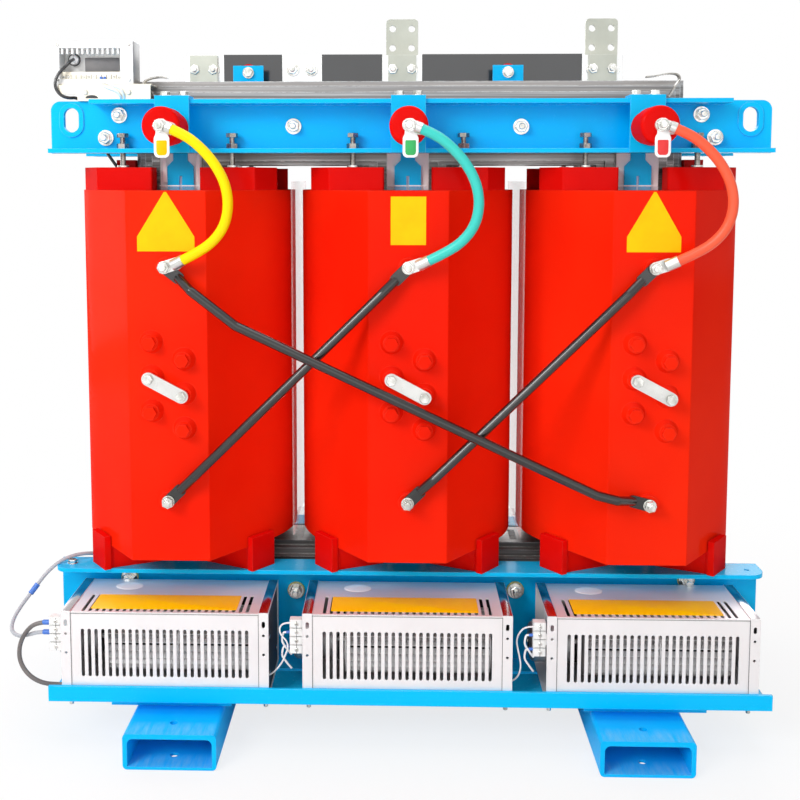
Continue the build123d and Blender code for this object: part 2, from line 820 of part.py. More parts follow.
with BuildPart() as instrument:
    box_top = box_bottom + box_height
    box_between((box_left, -box_front, box_bottom), (box_left + box_width, -box_front + box_depth, box_top))
    window_left, window_right = box_left + box_frame, box_left + box_width - box_side_frame
    window_top = box_top - box_top_frame
    recess_low = (window_left, -box_front, box_bottom + box_frame)
    recess_high = (window_right, -box_front + box_recess, window_top)
    box_between(recess_low, recess_high, mode=Mode.SUBTRACT)
    tooth_pitch = (window_right - window_left) / comb_teeth
    for tooth in range(comb_teeth):
        tooth_x = window_left + (tooth + 0.5) * tooth_pitch - comb_tooth / 2
        low = (tooth_x, -box_front + comb_setback, window_top - comb_height)
        high = (tooth_x + comb_tooth, -box_front + comb_setback + comb_depth, window_top)
        box_between(low, high)
    strip_low = (window_left, -box_front + comb_depth, box_bottom + box_frame)
    strip_back = -box_front + comb_depth + terminal_strip_depth
    strip_high = (window_right, strip_back, box_bottom + terminal_strip_height)
    box_between(strip_low, strip_high)
write(instrument, "terminal_box")


# Cross-flow fans: sheet housings with slotted front and top, a drum rotor and its motor
def fan_slots(centre, end):
    """Cuts the row of slots in the front and in the top of one housing."""
    pitch = (fan_slot_span - fan_slot_width) / (fan_slot_count - 1)
    slot_z = fan_bottom + fan_slot_bottom + fan_slot_height / 2
    front = Plane(origin=(centre, end * fan_front, slot_z), x_dir=(1, 0, 0), z_dir=(0, end, 0))
    with BuildSketch(front) as front_slots:
        with GridLocations(pitch, 1, fan_slot_count, 1):
            SlotOverall(fan_slot_height, fan_slot_width, rotation=90)
    extrude(front_slots.sketch, amount=-2 * fan_sheet, mode=Mode.SUBTRACT)
    slot_y = fan_front - fan_top_slot_inset - fan_top_slot_depth / 2
    top = Plane(origin=(centre, end * slot_y, fan_bottom + fan_height))
    with BuildSketch(top) as top_slots:
        with GridLocations(pitch, 1, fan_slot_count, 1):
            SlotOverall(fan_top_slot_depth, fan_slot_width, rotation=90)
    extrude(top_slots.sketch, amount=-2 * fan_sheet, mode=Mode.SUBTRACT)


def rim_fixings(centre, end):
    """Cuts the long hole and the round holes in the rims of both end pans."""
    rim_x = fan_length / 2 - fan_rim / 2
    front = Plane(origin=(centre, end * fan_front, 0), x_dir=(1, 0, 0), z_dir=(0, end, 0))
    up = front.y_dir.Z
    with BuildSketch(front) as rim_cuts:
        for x in (-rim_x, rim_x):
            with Locations((x, up * rim_slot_z)):
                SlotOverall(rim_slot_height, rim_slot_width, rotation=90)
            with Locations(*[(x, up * z) for z in rim_holes_z]):
                Circle(rim_hole / 2)
    extrude(rim_cuts.sketch, amount=-2 * fan_sheet, mode=Mode.SUBTRACT)
    with BuildSketch(Plane.XY.offset(fan_bottom + fan_height)) as screw_holes:
        with Locations((centre - rim_x, end * rim_screw_y), (centre + rim_x, end * rim_screw_y)):
            Circle(rim_hole / 2)
    extrude(screw_holes.sketch, amount=-2 * fan_sheet, mode=Mode.SUBTRACT)


def fan_housing(centre, end):
    """One sheet housing: a sleeve between two end pans whose rims wrap over it."""
    half = fan_length / 2
    low_y, high_y = sorted((end * fan_front, end * (fan_front - fan_depth)))
    low_z, high_z = fan_bottom, fan_bottom + fan_height
    box_between(
        (centre - half, low_y + fan_step, low_z),
        (centre + half, high_y - fan_step, high_z - fan_step),
    )
    for start in (centre - half, centre + half - fan_rim):
        box_between((start, low_y, low_z), (start + fan_rim, high_y, high_z))
    wall = fan_step + fan_sheet
    box_between(
        (centre - half, low_y + wall, low_z + fan_sheet),
        (centre + half, high_y - wall, high_z - wall),
        mode=Mode.SUBTRACT,
    )
    for wall_x in (centre - half + fan_rim, centre + half - fan_rim - fan_sheet):
        box_between(
            (wall_x, low_y + fan_step, low_z),
            (wall_x + fan_sheet, high_y - fan_step, high_z - fan_step),
        )
    hub = Plane(origin=(centre + half - fan_rim - fan_sheet, end * fan_middle_y, fan_middle_z), z_dir=(-1, 0, 0))
    with BuildSketch(hub) as boss:
        Circle(bearing_radius)
    extrude(boss.sketch, amount=bearing_length)
    with BuildSketch(hub) as shaft_hole:
        Circle(shaft_radius + shaft_clearance)
    extrude(shaft_hole.sketch, amount=bearing_length, mode=Mode.SUBTRACT)
    motor_hole = Plane(origin=(centre - half + fan_rim, end * fan_middle_y, fan_middle_z), z_dir=(1, 0, 0))
    with BuildSketch(motor_hole) as motor_seat:
        Circle(motor_radius)
    extrude(motor_seat.sketch, amount=fan_sheet, mode=Mode.SUBTRACT)
    fan_slots(centre, end)
    rim_fixings(centre, end)


def fan_block(centre, end):
    """A small terminal block beside the motor, with a groove between its ways."""
    wall_x = centre - fan_length / 2 + fan_rim
    right = centre - fan_length / 2 - fan_step
    left = right - fan_block_width
    face_y = fan_front - fan_block_setback
    low_y, high_y = sorted((end * face_y, end * (face_y - fan_block_depth)))
    top = fan_block_bottom + fan_block_height
    box_between((left, low_y, fan_block_bottom), (right, high_y, top))
    foot_z = (fan_block_bottom + top) / 2
    box_between((right, low_y, foot_z - fan_block_foot / 2), (wall_x, high_y, foot_z + fan_block_foot / 2))
    way = fan_block_height / fan_block_ways
    for number in range(1, fan_block_ways):
        groove_z = fan_block_bottom + number * way
        cut = sorted((end * face_y, end * (face_y - 2 * fan_block_groove)))
        box_between(
            (left, cut[0], groove_z - fan_block_groove / 2),
            (right, cut[1], groove_z + fan_block_groove / 2),
            mode=Mode.SUBTRACT,
        )


for end, row in ((-1, "front"), (1, "rear")):
    with BuildPart() as housings:
        for centre in fan_centres:
            fan_housing(centre, end)
    write(housings, f"fan_housings_{row}")

    with BuildPart() as motors:
        for centre in fan_centres:
            start = centre - fan_length / 2 + fan_rim - motor_outside
            nose = Plane(origin=(start, end * fan_middle_y, fan_middle_z), z_dir=(1, 0, 0))
            with BuildSketch(nose):
                Circle(motor_radius)
            extrude(amount=motor_outside + motor_inside)
            fillet(motors.edges().filter_by_position(Axis.X, start - 0.1, start + 0.1), motor_dome)
            mouth = nose.offset(motor_outside + motor_inside - bearing_length)
            with BuildSketch(mouth):
                Circle(shaft_radius + shaft_clearance)
            extrude(amount=bearing_length, mode=Mode.SUBTRACT)
    write(motors, f"fan_motors_{row}")

    with BuildPart() as fan_blocks:
        for centre in fan_centres:
            fan_block(centre, end)
    write(fan_blocks, f"fan_terminals_{row}")

    for number, centre in enumerate(fan_centres, start=1):
        with BuildPart() as rotor:
            wheel_start = centre + rotor_offset - rotor_length / 2
            hub = Plane(origin=(wheel_start, end * fan_middle_y, fan_middle_z), z_dir=(1, 0, 0))
            blade_radius = rotor_radius - rotor_blade_depth / 2
            with BuildSketch(hub):
                with PolarLocations(blade_radius, rotor_blades):
                    with Locations(Location((0, 0), 30)):
                        Rectangle(rotor_blade_depth, rotor_blade_thickness)
            extrude(amount=rotor_length)
            for offset in (0, rotor_length / 2 - rotor_disc / 2, rotor_length - rotor_disc):
                with BuildSketch(hub.offset(offset)):
                    Circle(rotor_radius)
                extrude(amount=rotor_disc)
            motor_face = centre - fan_length / 2 + fan_rim + motor_inside
            shaft_start = motor_face - bearing_length + shaft_clearance
            shaft_end = centre + fan_length / 2 - fan_rim - fan_sheet - shaft_clearance
            with BuildSketch(Plane(origin=(shaft_start, end * fan_middle_y, fan_middle_z), z_dir=(1, 0, 0))):
                Circle(shaft_radius)
            extrude(amount=shaft_end - shaft_start)
        write(rotor, f"fan_rotor_{row}_{number}")

# Cables: each route runs from one fitting's face to another's
fan_cable_route = [
    (-641, -280, 223),
    (-666, -280, 223),
    (-686, -282, 206),
    (-698, -283, 180),
    (-698, -283, 150),
    (-683, -282, 124),
    (-659, -279, 108),
    (-630, -270, 102),
    (-600, -270, 102),
]
link_cable_route = [
    (-523, -80, 262),
    (-549, -80, 262),
    (-577, -90, 277),
    (-604, -108, 291),
    (-634, -128, 296),
    (-662, -147, 290),
    (-686, -161, 270),
    (-704, -176, 245),
    (-722, -196, 221),
    (-731, -219, 203),
    (-727, -243, 191),
    (-708, -262, 188),
    (-685, -274, 196),
    (-663, -280, 205),
    (-641, -280, 205),
]
sensor_cable_route = [
    (-629, -84, 1240),
    (-629, -104, 1240),
    (-634, -121, 1228),
    (-652, -127, 1208),
    (-656, -130, 1188),
    (-647, -127, 1172),
    (-634, -119, 1166.5),
    (-620, -105, 1169),
    (-609, -94, 1153),
    (-602, -85, 1125),
    (-590, -78, 1091),
    (-568, -75, 1056),
    (-546, -75, 1026),
    (-546, -75, 996),
]
middle_wire_route = [
    (-209, -280, 227),
    (-222, -280, 227),
    (-229, -283, 216),
    (-224, -285, 205),
    (-214.5, -286, 196),
    (-212, -286, 184),
    (-217, -285, 170),
    (-224, -284, 154),
    (-236, -281, 138),
    (-249, -278, 127),
    (-264, -278, 127),
]
right_wire_route = [
    (223, -280, 225),
    (210, -280, 225),
    (199, -283, 216),
    (193.5, -284, 202),
    (196, -285, 187),
    (200, -285, 170),
    (202.5, -284, 152),
    (198, -281, 133),
    (184, -278, 121),
    (168, -278, 121),
]
cable_plan = [
    ("fan_cable", fan_cable_diameter, fan_cable_route),
    ("link_cable", link_cable_diameter, link_cable_route),
    ("sensor_cable", sensor_cable_diameter, sensor_cable_route),
    ("fan_wire_middle", fan_wire_diameter, middle_wire_route),
    ("fan_wire_right", fan_wire_diameter, right_wire_route),
]
for cable_name, diameter, route in cable_plan:
    with BuildPart() as cable:
        tube_along(route, diameter)
    write(cable, cable_name)
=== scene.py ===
import bpy, bmesh, json, math
from mathutils import Matrix, Vector


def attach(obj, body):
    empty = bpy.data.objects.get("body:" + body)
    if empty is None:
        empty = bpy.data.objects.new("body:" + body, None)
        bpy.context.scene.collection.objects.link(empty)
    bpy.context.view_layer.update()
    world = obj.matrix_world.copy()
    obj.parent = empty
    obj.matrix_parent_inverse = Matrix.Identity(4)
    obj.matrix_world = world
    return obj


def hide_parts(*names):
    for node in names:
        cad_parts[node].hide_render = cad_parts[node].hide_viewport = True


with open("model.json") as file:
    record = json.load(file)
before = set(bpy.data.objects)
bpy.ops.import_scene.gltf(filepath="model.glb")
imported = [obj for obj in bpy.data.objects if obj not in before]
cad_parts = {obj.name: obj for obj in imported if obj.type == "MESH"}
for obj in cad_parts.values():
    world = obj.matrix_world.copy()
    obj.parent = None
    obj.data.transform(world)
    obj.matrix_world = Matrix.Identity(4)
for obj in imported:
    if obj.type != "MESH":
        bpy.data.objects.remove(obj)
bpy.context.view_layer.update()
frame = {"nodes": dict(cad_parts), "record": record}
cadNodes = frame["nodes"]
mainBody = "transformer"
phaseX = (-428.0, 0.0, 428.0)
phaseNames = ("a", "b", "c")
fanX = (-432.0, 0.0, 432.0)


def metres(point):
    return Vector([value / 1000 for value in point])


# camera, fitted to the photo
cameraSettings = {
    "place": (-19.1, -2149.0, 1014.9),
    "pitch": 0.092,
    "yaw": 0.029,
    "lens": 48.825,
    "shift": (0.0425, -0.150),
}


def addCamera(s):
    data = bpy.data.cameras.new("camera")
    data.lens = s["lens"]
    data.sensor_width = 36
    data.shift_x, data.shift_y = s["shift"]
    data.clip_end = 60
    camera = bpy.data.objects.new("camera", data)
    camera.location = metres(s["place"])
    camera.rotation_euler = (math.pi / 2 - s["pitch"], 0, s["yaw"])
    bpy.context.scene.collection.objects.link(camera)
    bpy.context.scene.camera = camera


addCamera(cameraSettings)
print("camera placed")


# shared effects, as node groups
def newGroup(name, inputs, outputs):
    tree = bpy.data.node_groups.new(name, "ShaderNodeTree")
    kinds = {"v": "NodeSocketVector", "c": "NodeSocketColor", "f": "NodeSocketFloat"}
    for label, kind in inputs:
        tree.interface.new_socket(name=label, in_out="INPUT", socket_type=kinds[kind])
    for label, kind in outputs:
        tree.interface.new_socket(name=label, in_out="OUTPUT", socket_type=kinds[kind])
    return tree, tree.nodes.new("NodeGroupInput"), tree.nodes.new("NodeGroupOutput")


def addMath(tree, operation, first, second=None, clamp=False):
    node = tree.nodes.new("ShaderNodeMath")
    node.operation = operation
    node.use_clamp = clamp
    for socket, value in zip(node.inputs, (first, second)):
        if value is None:
            continue
        if isinstance(value, (int, float)):
            socket.default_value = value
        else:
            tree.links.new(value, socket)
    return node.outputs[0]


def addNoise(tree, vector, scale, detail=3.0, rough=0.55):
    node = tree.nodes.new("ShaderNodeTexNoise")
    node.inputs["Detail"].default_value = detail
    node.inputs["Roughness"].default_value = rough
    tree.links.new(vector, node.inputs["Vector"])
    if isinstance(scale, (int, float)):
        node.inputs["Scale"].default_value = scale
    else:
        tree.links.new(scale, node.inputs["Scale"])
    return node.outputs["Fac"]


def addMix(tree, factor, first, second):
    node = tree.nodes.new("ShaderNodeMix")
    node.data_type = "RGBA"
    for label, value in (("Factor", factor), ("A", first), ("B", second)):
        socket = node.inputs[label]
        if isinstance(value, (int, float)):
            socket.default_value = value
        elif isinstance(value, tuple):
            socket.default_value = (*value, 1)
        else:
            tree.links.new(value, socket)
    return node.outputs["Result"]


# (value - low) * gain, held between 0 and 1
def addRamp(tree, value, low, gain):
    return addMath(tree, "MULTIPLY", addMath(tree, "SUBTRACT", value, low), gain, clamp=True)


def addProduct(tree, first, second, third):
    return addMath(tree, "MULTIPLY", addMath(tree, "MULTIPLY", first, second), third, clamp=True)


def addFacing(tree):
    split = tree.nodes.new("ShaderNodeSeparateXYZ")
    tree.links.new(tree.nodes.new("ShaderNodeNewGeometry").outputs["Normal"], split.inputs["Vector"])
    return split.outputs["Z"]


def addScaled(tree, vector, stretch):
    node = tree.nodes.new("ShaderNodeVectorMath")
    node.operation = "MULTIPLY"
    tree.links.new(vector, node.inputs[0])
    if isinstance(stretch, tuple):
        node.inputs[1].default_value = stretch
    else:
        tree.links.new(stretch, node.inputs[1])
    return node.outputs["Vector"]


# slow changes of tone over a large part
def driftMask(tree, given):
    cloud = addNoise(tree, given["Vector"], given["Scale"], 4.0)
    return addMath(tree, "MULTIPLY", addRamp(tree, cloud, 0.35, 3.0), given["Amount"], clamp=True)


# edge wear where the rounded normal leaves the flat one, in patches; on the cast resin and the fan rotor the
# lighter edge colour is a painted highlight
def wearAndHighlightMask(tree, given):
    rounded = tree.nodes.new("ShaderNodeBevel")
    rounded.samples = 4
    rounded.inputs["Radius"].default_value = 0.002
    turn = tree.nodes.new("ShaderNodeVectorMath")
    turn.operation = "DOT_PRODUCT"
    tree.links.new(tree.nodes.new("ShaderNodeNewGeometry").outputs["Normal"], turn.inputs[0])
    tree.links.new(rounded.outputs["Normal"], turn.inputs[1])
    edge = addMath(tree, "MULTIPLY", addMath(tree, "SUBTRACT", 0.985, turn.outputs["Value"]), 8.0, clamp=True)
    patchy = addRamp(tree, addNoise(tree, given["Vector"], 70.0), 0.32, 4.0)
    return addProduct(tree, edge, patchy, given["Amount"])


# dust on what faces up
def dustMask(tree, given):
    upward = addMath(tree, "POWER", addMath(tree, "MAXIMUM", addFacing(tree), 0.0), 3.0)
    patchy = addRamp(tree, addNoise(tree, given["Vector"], 9.0, 6.0, 0.65), 0.3, 2.0)
    return addProduct(tree, upward, patchy, given["Amount"])


# the band colour on the upper side, in streaks across a band of the part
def streakBandMask(tree, given):
    split = tree.nodes.new("ShaderNodeSeparateXYZ")
    tree.links.new(given["Vector"], split.inputs["Vector"])
    outward = addMath(tree, "ABSOLUTE", split.outputs["Y"])
    away = addMath(tree, "ABSOLUTE", addMath(tree, "SUBTRACT", outward, given["Middle"]))
    inside = addMath(tree, "SUBTRACT", 1.3, addMath(tree, "DIVIDE", away, given["Width"]), clamp=True)
    streaks = addNoise(tree, addScaled(tree, given["Vector"], (130.0, 16.0, 1.0)), 1.0, 4.0, 0.7)
    top = addMath(tree, "GREATER_THAN", addFacing(tree), 0.9)
    return addProduct(tree, inside, addRamp(tree, streaks, 0.34, 3.0), top)


# a group that lays its second colour over the first by one of these masks
def buildTint(name, inputs, second, makeMask):
    tree, start, end = newGroup(
        name, [("Vector", "v"), *inputs, ("Colour", "c"), (second, "c")], [("Colour", "c")],
    )
    mask = makeMask(tree, start.outputs)
    mixed = addMix(tree, mask, start.outputs["Colour"], start.outputs[second])
    tree.links.new(mixed, end.inputs["Colour"])


# small bumps, and the roughness that follows them
def buildFineGrain():
    tree, start, end = newGroup(
        "fineGrain",
        [("Vector", "v"), ("Stretch", "v"), ("Scale", "f"), ("Roughness", "f"), ("Spread", "f")],
        [("Height", "f"), ("Roughness", "f")],
    )
    stretched = addScaled(tree, start.outputs["Vector"], start.outputs["Stretch"])
    grain = addNoise(tree, stretched, start.outputs["Scale"], 5.0, 0.6)
    drift = addMath(tree, "MULTIPLY", addMath(tree, "SUBTRACT", grain, 0.5), start.outputs["Spread"])
    roughness = addMath(tree, "ADD", start.outputs["Roughness"], drift, clamp=True)
    tree.links.new(grain, end.inputs["Height"])
    tree.links.new(roughness, end.inputs["Roughness"])


# the stacked edges of thin sheets, in lines across the stack
def buildSheetEdges():
    tree, start, end = newGroup(
        "sheetEdges",
        [("Vector", "v"), ("Stretch", "v"), ("Scale", "f"), ("Contrast", "f"), ("Colour", "c"),
         ("Line Colour", "c")],
        [("Colour", "c"), ("Height", "f")],
    )
    stretched = addScaled(tree, start.outputs["Vector"], start.outputs["Stretch"])
    lines = addNoise(tree, stretched, start.outputs["Scale"], 6.0, 0.75)
    sharp = addRamp(tree, lines, 0.4, start.outputs["Contrast"])
    mixed = addMix(tree, sharp, start.outputs["Colour"], start.outputs["Line Colour"])
    tree.links.new(mixed, end.inputs["Colour"])
    tree.links.new(lines, end.inputs["Height"])


buildTint("toneDrift", [("Scale", "f"), ("Amount", "f")], "Second Colour", driftMask)
buildTint("edgeWearAndHighlight", [("Amount", "f")], "Worn And Highlight Colour", wearAndHighlightMask)
buildTint("topDust", [("Amount", "f")], "Dust Colour", dustMask)
buildTint("lighterStreakBand", [("Middle", "f"), ("Width", "f")], "Band Colour", streakBandMask)
buildFineGrain()
buildSheetEdges()


def useGroup(tree, name, place, values):
    node = tree.nodes.new("ShaderNodeGroup")
    node.node_tree = bpy.data.node_groups[name]
    for label, value in {"Vector": place, **values}.items():
        socket = node.inputs[label]
        if isinstance(value, bpy.types.NodeSocket):
            tree.links.new(value, socket)
        elif socket.type == "RGBA":
            socket.default_value = (*value, 1)
        else:
            socket.default_value = value
    return node.outputs


# what a finish has where it gives no value of its own
plainFinish = {
    "driftScale": 6.0, "drift": 0.5, "roughness": 0.35, "spread": 0.12, "stretch": (1.0, 1.0, 1.0),
    "grainScale": 300.0, "bump": 0.1, "depth": 0.0004, "shader": {},
}
dustColour = (0.78, 0.76, 0.72)


# one finish: tone drift, sheet edges, edge wear and painted edge highlights, a lighter streaked band, dust,
# fine grain and soft edges (edge in mm)
def makeFinish(name, own):
    s = {**plainFinish, **own}
    material = bpy.data.materials.new(name)
    material.use_nodes = True
    tree = material.node_tree
    shader = tree.nodes["Principled BSDF"]
    for label, value in s["shader"].items():
        shader.inputs[label].default_value = value
    place = tree.nodes.new("ShaderNodeTexCoord").outputs["Object"]
    colour = useGroup(tree, "toneDrift", place, {
        "Scale": s["driftScale"], "Amount": s["drift"], "Colour": s["colour"], "Second Colour": s["second"],
    })["Colour"]
    if "lines" in s:
        lines = useGroup(tree, "sheetEdges", place, {**s["lines"], "Colour": colour})
        colour = lines["Colour"]
    if "wear" in s:
        values = {"Amount": s["wear"], "Colour": colour, "Worn And Highlight Colour": s["worn"]}
        colour = useGroup(tree, "edgeWearAndHighlight", place, values)["Colour"]
    if "lighterBand" in s:
        colour = useGroup(tree, "lighterStreakBand", place, {**s["lighterBand"], "Colour": colour})["Colour"]
    if "dust" in s:
        values = {"Amount": s["dust"], "Colour": colour, "Dust Colour": dustColour}
        colour = useGroup(tree, "topDust", place, values)["Colour"]
    tree.links.new(colour, shader.inputs["Base Color"])
    grain = useGroup(tree, "fineGrain", place, {
        "Stretch": s["stretch"], "Scale": s["grainScale"], "Roughness": s["roughness"], "Spread": s["spread"],
    })
    tree.links.new(grain["Roughness"], shader.inputs["Roughness"])
    bump = tree.nodes.new("ShaderNodeBump")
    bump.inputs["Strength"].default_value = s["bump"]
    bump.inputs["Distance"].default_value = s["depth"]
    tree.links.new(lines["Height"] if "lines" in s else grain["Height"], bump.inputs["Height"])
    if "edge" in s:
        soft = tree.nodes.new("ShaderNodeBevel")
        soft.samples = 4
        soft.inputs["Radius"].default_value = s["edge"] / 1000
        tree.links.new(soft.outputs["Normal"], bump.inputs["Normal"])
    tree.links.new(bump.outputs["Normal"], shader.inputs["Normal"])
    return material


